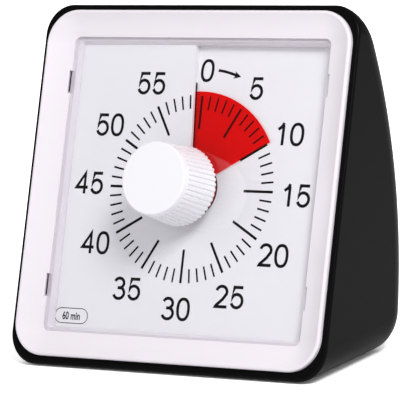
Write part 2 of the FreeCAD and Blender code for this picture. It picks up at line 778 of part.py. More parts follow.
def stator():
    flat = (STATOR_Z - STATOR_T / 2, STATOR_Z + STATOR_T / 2)
    half = STATOR_LEG / 2
    leg = box((LEG_X - half, LEG_X + half), (BAR_Y - half, ROTOR_SPOT[1]), flat)
    head = rod(ROTOR_R + STATOR_LEG / 2 + 2 * RUN, flat, *ROTOR_SPOT)
    top_y = ROTOR_SPOT[1] - STATOR_LEG / 2
    top = box((LEG_X, COIL_X + CORE / 2), (top_y, top_y + STATOR_LEG), flat)
    bar = box((LEG_X, COIL_X + CORE / 2), (BAR_Y - STATOR_LEG / 2, BAR_Y + STATOR_LEG / 2), flat)
    rise = (STATOR_Z - STATOR_T / 2, COIL_Z + CORE / 2)
    core_x = (COIL_X - CORE / 2, COIL_X + CORE / 2)
    low_post = box(core_x, (BAR_Y - STATOR_LEG / 2, BAR_Y + STATOR_LEG / 2), rise)
    high_post = box(core_x, (top_y, top_y + STATOR_LEG), rise)
    core = box(core_x, (BAR_Y, top_y + OVER), (COIL_Z - CORE / 2, COIL_Z + CORE / 2))
    body = leg.multiFuse([head, top, bar, low_post, high_post, core])
    hole = rod(ROTOR_R + RUN, (STATOR_Z - STATOR_T, STATOR_Z + STATOR_T), *ROTOR_SPOT)
    return body.cut(hole).removeSplitter()


def along_coil(radius, y):
    """Cylinder along the coil's axis from a (low, high) pair."""
    start = Vector(COIL_X, min(y), COIL_Z)
    return Part.makeCylinder(radius, abs(y[1] - y[0]), start, Vector(0, 1, 0))


def coil_bobbin():
    wall = CORE / 2 + FIT
    reach = COIL_R + FLANGE_T / 2
    body = along_coil(CORE, (COIL_LOW_Y, COIL_HIGH_Y))
    for start in (COIL_LOW_Y - FLANGE_T, COIL_HIGH_Y):
        across = (COIL_X - reach, COIL_X + reach)
        flange = box(across, (start, start + FLANGE_T), (COIL_Z - reach, COIL_Z + reach))
        body = body.fuse(flange)
    channel_x = (COIL_X - wall, COIL_X + wall)
    channel_y = (COIL_LOW_Y - 2 * OVER, COIL_HIGH_Y + 2 * OVER)
    return body.cut(box(channel_x, channel_y, (COIL_Z - wall, COIL_Z + wall)))


def coil_winding():
    ends = (COIL_LOW_Y + SLIP, COIL_HIGH_Y - SLIP)
    return along_coil(COIL_R, ends).cut(along_coil(CORE + SLIP, (ends[0] - OVER, ends[1] + OVER)))


BOARD_LEFT = -MOVEMENT_HALF + 2 * MOVEMENT_WALL
BOARD_LOW = -MOVEMENT_HALF + 2 * MOVEMENT_WALL
BOARD_BACK = MOVEMENT_FRONT - MOVEMENT_SPLIT


def board_posts():
    """Posts on the movement's front half that carry the board."""
    posts = []
    for x in (BOARD_LEFT + 3, BOARD_LEFT + BOARD_X - 3):
        for y in (BOARD_LOW + 3, BOARD_LOW + BOARD_Y - 3):
            posts.append(rod(1.5, (BOARD_BACK + BOARD_T, ROOM_FRONT + OVER / 2), x, y))
    return posts


def circuit_board():
    return box(
        (BOARD_LEFT, BOARD_LEFT + BOARD_X),
        (BOARD_LOW, BOARD_LOW + BOARD_Y),
        (BOARD_BACK, BOARD_BACK + BOARD_T),
    )


def quartz_crystal():
    start = Vector(BOARD_LEFT + 6, BOARD_LOW + BOARD_Y / 2, BOARD_BACK - CRYSTAL_R)
    return Part.makeCylinder(CRYSTAL_R, CRYSTAL_L, start, Vector(1, 0, 0))


def timer_chip():
    spot = Vector(BOARD_LEFT + BOARD_X / 2, BOARD_LOW + BOARD_Y / 2 + OVER, BOARD_BACK)
    ball = Part.makeSphere(6.0, spot + Vector(0, 0, 4.6))
    return ball.common(rod(5.0, (BOARD_BACK - 3.0, BOARD_BACK), spot.x, spot.y))


def alarm_contact():
    mid = CAM_BACK + CAM_T / 2
    leaf_y = -CAM_R - RUN
    leaf = box((-14, 3), (leaf_y - 0.3, leaf_y), (mid - 0.4, mid + 0.4))
    foot = box((-17, -14), (leaf_y - 1.0, leaf_y + 0.5), (mid - 0.4, ROOM_FRONT))
    return leaf.fuse(foot)


# Movement case and mounting plate


def ear_spots():
    """Places of the screws that hold the movement."""
    reach = MOVEMENT_HALF + EAR_REACH / 2
    return [(-reach, 0), (reach, 0)]


def bearing_holes():
    """Blind holes for the arbors, in both halves of the movement's case."""
    low = (ROOM_BACK - PIVOT_DEPTH, ROOM_BACK + OVER)
    high = (ROOM_FRONT - OVER, ROOM_FRONT + PIVOT_DEPTH)
    holes = []
    for spot in (THIRD_SPOT, SECOND_SPOT, FIRST_SPOT, ROTOR_SPOT):
        holes += [rod(ARBOR_R + SLIP, low, *spot), rod(ARBOR_R + SLIP, high, *spot)]
    return holes


def movement_front():
    half = MOVEMENT_HALF
    split = MOVEMENT_FRONT - MOVEMENT_SPLIT
    body = rounded_block(half, half, MOVEMENT_CORNER_R, (split, MOVEMENT_FRONT))
    inner = half - MOVEMENT_WALL
    corner_r = MOVEMENT_CORNER_R - MOVEMENT_WALL
    body = body.cut(rounded_block(inner, inner, corner_r, (split - OVER, ROOM_FRONT)))
    extras = board_posts()
    for x, y in ear_spots():
        far = math.copysign(half + EAR_REACH, x)
        near = math.copysign(half - MOVEMENT_WALL / 2, x)
        extras.append(box((near, far), (-EAR_WIDTH / 2, EAR_WIDTH / 2), (ROOM_FRONT, MOVEMENT_FRONT)))
    body = body.multiFuse(extras).removeSplitter()
    holes = [rod(SCREW_R + FIT, (ROOM_FRONT - OVER, MOVEMENT_FRONT + OVER), x, y) for x, y in ear_spots()]
    holes.append(rod(SPINDLE_R + SLIP, (ROOM_FRONT - OVER, MOVEMENT_FRONT + OVER)))
    return body.cut(Part.makeCompound(holes + bearing_holes()))


def movement_back():
    half = MOVEMENT_HALF
    split = MOVEMENT_FRONT - MOVEMENT_SPLIT
    body = rounded_block(half, half, MOVEMENT_CORNER_R, (MOVEMENT_BACK, split))
    inner = half - MOVEMENT_WALL
    corner_r = MOVEMENT_CORNER_R - MOVEMENT_WALL
    body = body.cut(rounded_block(inner, inner, corner_r, (ROOM_BACK, split + OVER)))
    holes = bearing_holes()
    holes.append(rod(SPINDLE_PIVOT_R + SLIP, (ROOM_BACK - PIVOT_DEPTH, ROOM_BACK + OVER)))
    body = body.cut(Part.makeCompound(holes))
    gate_x = 3 * LEAD_PITCH + 3 * LEAD_R
    gate = box((-gate_x, gate_x), (-half - OVER, -inner + OVER), (split - 4 * LEAD_R, split + OVER))
    return body.cut(gate)


def mounting_plate():
    plate = rounded_block(MOUNT_HALF, MOUNT_HALF, MOVEMENT_CORNER_R, (MOUNT_BACK, MOUNT_FRONT))
    lugs = []
    for x, y in frame_screw_spots():
        near = math.copysign(MOUNT_HALF - OVER, x)
        lugs.append(box((near, x), (y - BOSS_R, y + BOSS_R), (MOUNT_BACK, MOUNT_FRONT)))
        lugs.append(rod(BOSS_R, (MOUNT_BACK, MOUNT_FRONT), x, y))
    pads = []
    near = PLATE_HALF - PAD_SIZE
    far = min(PLATE_HALF, MOUNT_HALF)
    for turn in (0, 90, 180, 270):
        for offset in (-PAD_OFFSET, PAD_OFFSET):
            across = (offset - PAD_SIZE / 2, offset + PAD_SIZE / 2)
            pad = box((near, far), across, (MOUNT_FRONT - FIT, PLATE_HIGH))
            pad.rotate(Vector(0, 0, 0), Vector(0, 0, 1), turn)
            pads.append(pad)
    rise = PAD_SIZE + PLATE_EDGE_STEP
    above = plate_slab(PLATE_HALF + OVER, SLIT_R - OVER, rise + PLATE_T + SLIP, rise)
    pads = [pad.cut(above) for pad in pads]
    body = plate.multiFuse(lugs + pads).removeSplitter()
    through = (MOUNT_BACK - OVER, MOUNT_FRONT + OVER)
    holes = [rod(SCREW_R + FIT, through, x, y) for x, y in frame_screw_spots()]
    holes += [rod(SCREW_R + SLIP, (MOUNT_BACK - OVER, MOUNT_FRONT + OVER), x, y) for x, y in ear_spots()]
    holes.append(rod(SPINDLE_R + LOOSE, (MOUNT_BACK - OVER, MOUNT_FRONT + OVER)))
    return body.cut(Part.makeCompound(holes))


def screw(length, x, y, head_front):
    """Screw along +z whose head bears on head_front."""
    head = rod(SCREW_HEAD_R, (head_front - SCREW_HEAD_T, head_front), x, y)
    shank = rod(SCREW_R, (head_front - OVER / 2, head_front + length), x, y)
    slot_x = (x - SCREW_HEAD_R * 0.7, x + SCREW_HEAD_R * 0.7)
    depth = (head_front - SCREW_HEAD_T - OVER, head_front - SCREW_HEAD_T / 2)
    slots = box(slot_x, (y - 0.3, y + 0.3), depth)
    cross = box((x - 0.3, x + 0.3), (y - SCREW_HEAD_R * 0.7, y + SCREW_HEAD_R * 0.7), depth)
    return head.fuse(shank).cut(slots.fuse(cross))


def frame_screws():
    length = MOUNT_T + SCREW_BITE - LOOSE
    return Part.makeCompound([screw(length, x, y, MOUNT_BACK) for x, y in frame_screw_spots()])


def movement_screws():
    length = MOVEMENT_WALL + MOUNT_T - FIT
    return Part.makeCompound([screw(length, x, y, ROOM_FRONT) for x, y in ear_spots()])


COLUMN_FRONT = BEZEL_BACK
COLUMN_SEAT = COLUMN_FRONT - COLUMN_FLOOR


def case_screws():
    length = COLUMN_FLOOR + SCREW_BITE - LOOSE
    return Part.makeCompound([screw(length, x, y, COLUMN_SEAT) for x, y in case_screw_spots()])


# Rear housing


def case_body(inset):
    """Solid of the case up to its rim plane, pulled in on every other side by inset."""
    front = RIM_Z
    half = CASE_HALF - inset
    ground = FOOT_OUT + inset
    top = RIM_TOP - inset
    back_r = BACK_R - inset
    corner_r = BACK_CORNER_R - inset
    top_r = TOP_R - inset
    arc = Vector(-half, ARC_Y, ARC_Z)
    front_low = Vector(-half, DIAL_Y + ((ground - DIAL_Z) * SIN - front) / COS, ground)
    front_top = Vector(-half, DIAL_Y + top * SIN - front * COS, DIAL_Z + top * COS + front * SIN)
    corner_z = ground + corner_r
    corner_y = ARC_Y + math.sqrt((back_r - corner_r) ** 2 - (corner_z - ARC_Z) ** 2)
    corner = Vector(-half, corner_y, corner_z)
    low_way = (corner - arc).normalize()
    floor_end = Vector(-half, corner_y, ground)
    back_low = arc + low_way * back_r
    corner_way = (low_way + Vector(0, 0, -1)).normalize()
    inward = Vector(0, COS, -SIN)
    up = Vector(0, SIN, COS)
    start = front_top - up * top_r
    offset = start - arc
    along = offset.dot(inward)
    slide = -along + math.sqrt(along * along - offset.dot(offset) + (back_r - top_r) ** 2)
    crown = start + inward * slide
    high_way = (crown - arc).normalize()
    back_high = arc + high_way * back_r
    crown_start = crown + up * top_r
    crown_way = (high_way + up).normalize()
    back_way = (low_way + high_way).normalize()
    edges = [
        Part.LineSegment(front_low, floor_end).toShape(),
        Part.Arc(floor_end, corner + corner_way * corner_r, back_low).toShape(),
        Part.Arc(back_low, arc + back_way * back_r, back_high).toShape(),
        Part.Arc(back_high, crown + crown_way * top_r, crown_start).toShape(),
        Part.LineSegment(crown_start, front_top).toShape(),
        Part.LineSegment(front_top, front_low).toShape(),
    ]
    solid = Part.Face(Part.Wire(edges)).extrude(Vector(2 * half, 0, 0))

    def on_side(edge, middle):
        depth = (middle.z - DIAL_Z) * SIN - (middle.y - DIAL_Y) * COS
        return abs(abs(middle.x) - half) < 1e-6 and abs(depth - front) > 1e-3

    return solid.makeFillet(SIDE_R - inset, picked(solid, on_side))


BAY_HALF_Y = CELL_R + BAY_GAP
CELL_C = -RECESS - PAD_T - CELL_R + BAY_GAP
BAY_FLOOR = CELL_C - CELL_R - LOOSE
BAY_HALF_X = (CELL_L + NUB_L) / 2 + BAY_ENDS
HOOK_STARTS = (-BAY_HALF_X + BAY_ENDS + 2, BAY_HALF_X - DOOR_TRAVEL - HOOK_LENGTH - BAY_ENDS)
HOOK_BACK = -RECESS - PAD_T - RUN
HOOK_Y = BAY_HALF_Y - RUN


def bay_pad():
    """Flat thicker wall round the battery door."""
    margin = CASE_WALL
    x = (-DOOR_LENGTH / 2 - margin, DOOR_LENGTH / 2 + DOOR_TRAVEL + margin)
    y = (-DOOR_HEIGHT / 2 - margin, DOOR_HEIGHT / 2 + margin)
    return box(x, y, (-RECESS - PAD_T, OVER))


def bay_box():
    x = BAY_HALF_X + BAY_WALL
    y = BAY_HALF_Y + BAY_WALL
    return box((-x, x), (-y, y), (BAY_FLOOR - BAY_WALL, -RECESS))


def bay_cuts():
    """Recess, bay, hook slots and tab slots."""
    recess_x = (-DOOR_LENGTH / 2 - RUN, DOOR_LENGTH / 2 + DOOR_TRAVEL + RUN)
    recess_y = (-DOOR_HEIGHT / 2 - RUN, DOOR_HEIGHT / 2 + RUN)
    cuts = [box(recess_x, recess_y, (-RECESS, 3 * OVER))]
    cuts.append(box((-BAY_HALF_X, BAY_HALF_X), (-BAY_HALF_Y, BAY_HALF_Y), (BAY_FLOOR, 0)))
    reach = HOOK_Y + HOOK_REACH + RUN
    for start in HOOK_STARTS:
        travel = (start - RUN, start + HOOK_LENGTH + DOOR_TRAVEL + RUN)
        cuts.append(box(travel, (-reach, reach), (HOOK_BACK - HOOK_T - RUN, -RECESS - PAD_T)))
        entry = (start + DOOR_TRAVEL - RUN, start + DOOR_TRAVEL + HOOK_LENGTH + RUN)
        cuts.append(box(entry, (-reach, reach), (HOOK_BACK, OVER)))
    for side in (-1, 1):
        mid = side * (BAY_HALF_X - CONTACT_T / 2)
        slot_x = (mid - CONTACT_T / 2 - FIT, mid + CONTACT_T / 2 + FIT)
        cuts.append(box(slot_x, (-1.2, 1.2), (BAY_FLOOR - 2 * BAY_WALL, BAY_FLOOR + OVER)))
    return cuts


def battery_door():
    half_x = DOOR_LENGTH / 2
    half_y = DOOR_HEIGHT / 2
    back = -RECESS + RUN
    front = back + DOOR_T
    body = rounded_block(half_x, half_y, DOOR_CORNER_R, (back, front))
    for index in range(5):
        x = -half_x + 6 + 2.4 * index
        ridge = box((x - 0.5, x + 0.5), (-half_y + 5, half_y - 5), (front - 0.5, front + OVER))
        body = body.cut(ridge)
    for start in HOOK_STARTS:
        for side in (-1, 1):
            x = (start, start + HOOK_LENGTH)
            neck_y = (side * (HOOK_Y - HOOK_T), side * HOOK_Y)
            neck = box(x, neck_y, (HOOK_BACK - HOOK_T, back + DOOR_T / 2))
            lip = box(x, (neck_y[0], side * (HOOK_Y + HOOK_REACH)), (HOOK_BACK - HOOK_T, HOOK_BACK))
            body = body.multiFuse([neck, lip])
    return body.removeSplitter()


def cell_start():
    """Tip of the cell's raised end, along the bay."""
    return -BAY_HALF_X + CONTACT_T + 3 * SLIP + 0.8


def battery_cell():
    way = Vector(1, 0, 0)
    tip = Vector(cell_start(), 0, CELL_C)
    nub = Part.makeCylinder(NUB_R, NUB_L + OVER, tip, way)
    body = Part.makeCylinder(CELL_R, CELL_L, tip + way * NUB_L, way)
    edge = picked(body, lambda edge, middle: edge.Length > CELL_R * 3 and len(edge.Vertexes) == 1)
    return body.makeFillet(CELL_EDGE_R, edge).fuse(nub)


def contact_plate(side):
    """Flat contact at one end of the bay, with its solder tab through the bay's floor."""
    outer = side * (BAY_HALF_X - SLIP)
    inner = side * (BAY_HALF_X - CONTACT_T)
    half = BAY_HALF_Y - CONTACT_SHY
    plate = box((inner, outer), (-half, half), (BAY_FLOOR + LOOSE, CELL_C + CELL_R - OVER))
    tab = box((inner, outer), (-1, 1), (BAY_FLOOR - BAY_WALL - TAB_LENGTH, BAY_FLOOR + OVER))
    return plate.fuse(tab)


def battery_contact_positive():
    nub_length = 0.8
    start = Vector(-BAY_HALF_X + CONTACT_T / 2, 0, CELL_C)
    nub = Part.makeCone(NUB_R, NUB_R * 0.7, nub_length + CONTACT_T / 2, start, Vector(1, 0, 0))
    return contact_plate(-1).fuse(nub).removeSplitter()


def battery_contact_negative():
    plate = contact_plate(1)
    end = BAY_HALF_X - CONTACT_T
    start = cell_start() + NUB_L + CELL_L + SLIP
    low = start + SPRING_WIRE_R
    length = end - SPRING_WIRE_R - low
    points = []
    for bend in range(SPRING_TURNS * SPRING_BENDS + 1):
        angle = 2 * math.pi * bend / SPRING_BENDS
        x = low + length * bend / (SPRING_TURNS * SPRING_BENDS)
        points.append(Vector(x, COIL_SPRING_R * math.cos(angle), CELL_C + COIL_SPRING_R * math.sin(angle)))
    coil = bent_wire(points, SPRING_WIRE_R)
    return plate, coil


def switch_cuts():
    """Dish and slot of the volume switch."""
    dish_x = STEM_LENGTH / 2 + 0.8 + SWITCH_TRAVEL + 2 * RUN
    dish_y = STEM_WIDTH / 2 + 1.3 + 2 * RUN
    dish = rounded_block(dish_x, dish_y, dish_y / 2, (-GRIP_T - RUN, 3 * OVER))
    slot_x = STEM_LENGTH / 2 + SWITCH_TRAVEL + RUN
    slot = box((-slot_x, slot_x), (-STEM_WIDTH / 2 - RUN, STEM_WIDTH / 2 + RUN), (-2 * CASE_WALL, 0))
    return [dish, slot]


SWITCH_FRONT = -GRIP_T - RUN - CASE_WALL


def switch_pad():
    """Thicker wall that the switch seats on."""
    x = SWITCH_LENGTH / 2
    y = SWITCH_WIDTH / 2
    return box((-x, x), (-y, y), (SWITCH_FRONT, -CASE_WALL / 2))


def switch_body():
    x = SWITCH_LENGTH / 2
    y = SWITCH_WIDTH / 2
    top = SWITCH_FRONT - SLIP
    body = box((-x, x), (-y, y), (top - SWITCH_DEPTH, top))
    well_x = STEM_LENGTH / 2 + SWITCH_TRAVEL + RUN
    well_y = STEM_WIDTH / 2 + RUN
    well = box((-well_x, well_x), (-well_y, well_y), (top - 2 * OVER, top + OVER))
    pin_c = (top - SWITCH_DEPTH - PIN_LENGTH, top - SWITCH_DEPTH + OVER / 2)
    pins = [box((p - 0.4, p + 0.4), (-0.2, 0.2), pin_c) for p in (-LEAD_PITCH, 0, LEAD_PITCH)]
    return body.cut(well).multiFuse(pins)


def switch_slider():
    stem = box(
        (-STEM_LENGTH / 2, STEM_LENGTH / 2),
        (-STEM_WIDTH / 2, STEM_WIDTH / 2),
        (SWITCH_FRONT - OVER, -GRIP_T),
    )
    grip = rounded_block(STEM_LENGTH / 2 + 0.8, STEM_WIDTH / 2 + 1.3, 0.8, (-GRIP_T, 0))
    for index in (-1, 0, 1):
        grip = grip.cut(box((index * 1.3 - 0.25, index * 1.3 + 0.25), (-3, 3), (-0.4, OVER)))
    return grip.fuse(stem)


BUZZER_FRONT = -CASE_WALL - 0.9


def buzzer_ring():
    """Wall that holds the buzzer on the case's back wall."""
    inner = BUZZER_R + FIT
    return tube(inner + CASE_WALL * 0.8, inner, (BUZZER_FRONT - BUZZER_DEPTH, -CASE_WALL / 2))


def sound_holes():
    holes = [rod(SOUND_HOLE_R, (-2 * CASE_WALL, OVER))]
    for index in range(SOUND_HOLES):
        x, y = step_out((0, 0), SOUND_RING_R, 360 * index / SOUND_HOLES)
        holes.append(rod(SOUND_HOLE_R, (-2 * CASE_WALL, OVER), x, y))
    return holes


def buzzer_case():
    body = rod(BUZZER_R, (BUZZER_FRONT - BUZZER_DEPTH, BUZZER_FRONT))
    room = rod(BUZZER_R - BUZZER_WALL, (BUZZER_FRONT - BUZZER_DEPTH + BUZZER_WALL, BUZZER_FRONT + OVER))
    seat = (BUZZER_FRONT - LEDGE_BACK, BUZZER_FRONT - LEDGE_FRONT)
    ledge = tube(BUZZER_R - BUZZER_WALL, BUZZER_R - 2 * BUZZER_WALL, seat)
    return body.cut(room).fuse(ledge).removeSplitter()


def buzzer_disc():
    brass = rod(BUZZER_R - BUZZER_WALL - SLIP, (BUZZER_FRONT - 1.2 + SLIP, BUZZER_FRONT - 0.9))
    ceramic = rod(BUZZER_R * 0.7, (BUZZER_FRONT - 0.9, BUZZER_FRONT - 0.7))
    return brass.fuse(ceramic)


def foot_spots():
    return [(side * FOOT_X, DIAL_Y + y) for side in (-1, 1) for y in (FOOT_FRONT_Y, FOOT_REAR_Y)]


def rubber_feet():
    return Part.makeCompound([rod(FOOT_R, (0, FOOT_T), x, y) for x, y in foot_spots()])


def rear_housing():
    whole = case_body(0.0)

    def on_rim(edge, middle):
        depth = (middle.z - DIAL_Z) * SIN - (middle.y - DIAL_Y) * COS
        return abs(depth - RIM_Z) < 1e-3

    outer = whole.makeFillet(RIM_EDGE_R, picked(whole, on_rim))
    room = box((-CASE_HALF, CASE_HALF), (-2 * CASE_HALF, 2 * CASE_HALF), (-2 * CASE_HALF, CAVITY_FRONT))
    shell = outer.cut(case_body(CASE_WALL).common(placed(room, FACE)))
    mouth = rounded_block(MOUTH_HALF_X, MOUTH_HALF_Y, BEZEL_CORNER_R + FIT, (MOUTH_FLOOR, RIM_Z + 2 * OVER))
    shell = shell.cut(placed(mouth, FACE))
    along = (BEHIND_CASE, COLUMN_FRONT)
    additions = [placed(rod(COLUMN_R, along, x, y), FACE) for x, y in case_screw_spots()]
    additions += [placed(bay_pad(), BATTERY_FRAME), placed(bay_box(), BATTERY_FRAME)]
    additions += [placed(switch_pad(), SWITCH_FRAME), placed(buzzer_ring(), BUZZER_FRAME)]
    for x, y in foot_spots():
        additions.append(rod(FOOT_R + CASE_WALL / 2, (FOOT_OUT, FOOT_T + CASE_WALL), x, y))
    for addition in additions:
        shell = shell.fuse(addition.common(whole))
    cuts = [placed(cut, BATTERY_FRAME) for cut in bay_cuts()]
    cuts += [placed(cut, SWITCH_FRAME) for cut in switch_cuts()]
    cuts += [placed(cut, BUZZER_FRAME) for cut in sound_holes()]
    for x, y in case_screw_spots():
        cuts.append(placed(rod(SCREW_HEAD_R + LOOSE, (BEHIND_CASE, COLUMN_SEAT), x, y), FACE))
        cuts.append(placed(rod(SCREW_R + FIT, (COLUMN_SEAT - OVER, COLUMN_FRONT + OVER), x, y), FACE))
    for x, y in foot_spots():
        cuts.append(rod(FOOT_R + SLIP, (0, FOOT_T + SLIP), x, y))
    for cut in cuts:
        shell = shell.cut(cut)
    return shell


# Leads


def lead(points):
    """Insulated lead through points."""
    return bent_wire(points, LEAD_R)


LEAD_BACK = MOVEMENT_BACK - LEAD_BEHIND
LEAD_GATE = BOARD_BACK - LEAD_R - SLIP
LEAD_END = BOARD_LOW + BOARD_Y / 5


def last_points(x):
    """Last two points of a lead that turns up into the movement and ends on the board."""
    return [
        FACE.multVec(Vector(x, -LEAD_LOW + OVER / 2, LEAD_GATE - LEAD_R)),
        FACE.multVec(Vector(x, LEAD_END, LEAD_GATE)),
    ]


def battery_leads():
    leads = []
    for side in (-1, 1):
        x = side * (BAY_HALF_X - CONTACT_T / 2)
        tab = Vector(-x, -OVER - LEAD_R - SLIP, BAY_FLOOR - BAY_WALL - TAB_LENGTH + 2 * LEAD_R)
        low = FACE.multVec(Vector(side * (BAY_HALF_X - 2 * OVER), -LEAD_LOW, MOVEMENT_BACK))
        leads.append(lead([BATTERY_FRAME.multVec(tab), low] + last_points(side * 3 * LEAD_PITCH)))
    return Part.makeCompound(leads)


def switch_leads():
    leads = []
    pin_c = SWITCH_FRONT - SLIP - SWITCH_DEPTH - PIN_LENGTH + 2 * LEAD_R
    for x in (-LEAD_PITCH, 0, LEAD_PITCH):
        pin = SWITCH_FRAME.multVec(Vector(-x, -0.2 - LEAD_R - SLIP, pin_c))
        gap = FACE.multVec(Vector(x, -2 * LEAD_PITCH, LEAD_BACK - SLIP))
        low = FACE.multVec(Vector(x, -LEAD_LOW, LEAD_BACK + 2 * LEAD_R))
        leads.append(lead([pin, gap, low] + last_points(x)))
    return Part.makeCompound(leads)


def buzzer_leads():
    leads = []
    back = BUZZER_FRONT - BUZZER_DEPTH - LEAD_R - SLIP
    for side in (-1, 1):
        wide = side * (SWITCH_LENGTH / 2 + 2 * OVER)
        start = BUZZER_FRAME.multVec(Vector(-wide, 0, back))
        bend = BUZZER_FRAME.multVec(Vector(-wide, -BUZZER_R + 3 * OVER, back))
        low = FACE.multVec(Vector(side * 2 * LEAD_PITCH, -LEAD_LOW, LEAD_BACK + 2 * LEAD_R))
        leads.append(lead([start, bend, low] + last_points(side * 2 * LEAD_PITCH)))
    return Part.makeCompound(leads)


def main():
    os.makedirs("parts", exist_ok=True)
    on_face = {
        "dial_plate": dial_plate,
        "red_disc": red_disc,
        "disc_carrier": disc_carrier,
        "front_bezel": front_bezel,
        "clear_lens": clear_lens,
        "knob": knob,
        "spindle": spindle,
        "clutch_spring": clutch_spring,
        "retaining_ring": retaining_ring,
        "alarm_cam": alarm_cam,
        "center_wheel": center_wheel,
        "third_wheel": third_wheel,
        "second_wheel": second_wheel,
        "first_wheel": first_wheel,
        "rotor": rotor,
        "stator": stator,
        "coil_bobbin": coil_bobbin,
        "coil_winding": coil_winding,
        "circuit_board": circuit_board,
        "quartz_crystal": quartz_crystal,
        "timer_chip": timer_chip,
        "alarm_contact": alarm_contact,
        "movement_front": movement_front,
        "movement_back": movement_back,
        "mounting_plate": mounting_plate,
        "frame_screws": frame_screws,
        "movement_screws": movement_screws,
        "case_screws": case_screws,
    }
    for name, make in on_face.items():
        save(name, placed(make(), FACE))
    plate, coil = battery_contact_negative()
    save("battery_contact_positive", placed(battery_contact_positive(), BATTERY_FRAME))
    save("battery_contact_negative", placed(plate, BATTERY_FRAME))
    save("battery_spring", placed(coil, BATTERY_FRAME))
    save("battery_cell", placed(battery_cell(), BATTERY_FRAME))
    save("battery_door", placed(battery_door(), BATTERY_FRAME))
    save("switch_body", placed(switch_body(), SWITCH_FRAME))
    save("switch_slider", placed(switch_slider(), SWITCH_FRAME))
    save("buzzer_case", placed(buzzer_case(), BUZZER_FRAME))
    save("buzzer_disc", placed(buzzer_disc(), BUZZER_FRAME))
    save("rubber_feet", rubber_feet())
    save("rear_housing", rear_housing())
    save("battery_leads", battery_leads())
    save("switch_leads", switch_leads())
    save("buzzer_leads", buzzer_leads())


main()
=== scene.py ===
# %% [markdown]
# # A visual countdown timer
# The real object is a desk timer. A white square frame leans back in a black case,
# and a red disc winds out of a slit in the dial as the knob is turned. The shapes
# were made in a CAD program and packed as one fixed frame. This lesson dresses them:
# it gives each piece its finish, prints the dial, and sets up a small photo studio.

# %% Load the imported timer
import json
import math

import bpy
from mathutils import Matrix, Vector


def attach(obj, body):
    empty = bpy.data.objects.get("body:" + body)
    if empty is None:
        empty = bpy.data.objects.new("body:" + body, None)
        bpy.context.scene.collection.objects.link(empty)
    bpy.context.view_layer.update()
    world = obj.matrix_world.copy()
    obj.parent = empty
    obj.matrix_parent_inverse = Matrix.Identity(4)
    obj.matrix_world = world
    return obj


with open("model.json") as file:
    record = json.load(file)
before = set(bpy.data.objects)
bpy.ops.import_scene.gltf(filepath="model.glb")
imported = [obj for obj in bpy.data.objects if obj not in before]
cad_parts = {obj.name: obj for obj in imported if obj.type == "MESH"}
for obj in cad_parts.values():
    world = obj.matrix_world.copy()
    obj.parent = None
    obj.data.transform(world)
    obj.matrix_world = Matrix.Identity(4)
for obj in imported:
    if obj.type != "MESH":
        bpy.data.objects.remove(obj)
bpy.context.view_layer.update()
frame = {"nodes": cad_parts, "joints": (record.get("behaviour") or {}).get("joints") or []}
nodes = frame["nodes"]
print("loaded", len(nodes), "pieces")

# %% [markdown]
# ## Where the dial is
# Everything on the dial is easiest to place in the dial's own directions: right,
# up the leaning face, and out of it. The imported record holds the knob's hinge, so the
# hinge gives the dial's centre and its outward direction, and nothing is typed twice.

# %% Find the dial's directions
MM = 0.001
hinge = next(joint for joint in frame["joints"] if joint["name"] == "knob_turn")
DIAL_CENTRE = Vector(hinge["pos_m"])
OUT = -Vector(hinge["axis"]).normalized()
RIGHT = Vector((1, 0, 0))
UP = OUT.cross(RIGHT).normalized()


def on_dial(x, y, z=0.0):
    """Point of the scene from millimetres right, up and out of the dial."""
    return DIAL_CENTRE + (RIGHT * x + UP * y + OUT * z) * MM


lean = math.degrees(math.asin(OUT.z))
print("dial centre", [round(v, 4) for v in DIAL_CENTRE], "lean", round(lean, 1))

# %% [markdown]
# ## Colours and plain materials
# A screen's colour numbers aren't even steps of light, but a shader works in light.
# So each colour is written as it would be picked on a screen, from 0 to 255, and turned
# into light once, here. Typing the light values would also work, but nobody can read
# them as colours.

# %% Colours, materials and noise
SCREEN_TOP = 255
DARK_END = 0.04045
DARK_SLOPE = 12.92
BRIGHT_OFFSET = 0.055
BRIGHT_POWER = 2.4


def colour(red, green, blue):
    """Colour as Blender's shader wants it, from the 0 to 255 values seen on a screen."""
    linear = []
    for value in (red, green, blue):
        share = value / SCREEN_TOP
        bright = ((share + BRIGHT_OFFSET) / (1 + BRIGHT_OFFSET)) ** BRIGHT_POWER
        linear.append(share / DARK_SLOPE if share <= DARK_END else bright)
    return (*linear, 1.0)


def new_material(name):
    """Material with a plain Principled shader; returns it, its nodes, links and shader."""
    material = bpy.data.materials.new(name)
    material.use_nodes = True
    tree = material.node_tree
    shader = tree.nodes["Principled BSDF"]
    return material, tree.nodes, tree.links, shader


def noise(maker, links, scale, detail, spot):
    """Noise texture in object coordinates, with grains of about 1/scale metres."""
    texture = maker.new("ShaderNodeTexNoise")
    texture.inputs["Scale"].default_value = scale
    texture.inputs["Detail"].default_value = detail
    links.new(spot.outputs["Object"], texture.inputs["Vector"])
    return texture


print("mid grey as light:", [round(v, 3) for v in colour(128, 128, 128)])

# %% [markdown]
# ## A helper for moulded plastic
# Injection-moulded plastic is never one flat colour. It has a very fine grain from the
# steel mould, a little unevenness in how glossy it is, and a faint drift of tone. One
# Noise texture for the grain and one for the drift give all three. Object coordinates
# keep the grain at a real size, in metres, on every piece.

# %% Plastic, metal and rubber finishes
DRIFT_SCALE = 60
DRIFT_DETAIL = 3
GRAIN_DETAIL = 2
GRAIN_DEPTH = 0.1 * MM
GLOSS_SPREAD = 0.04
SMOOTHEST = 0.02


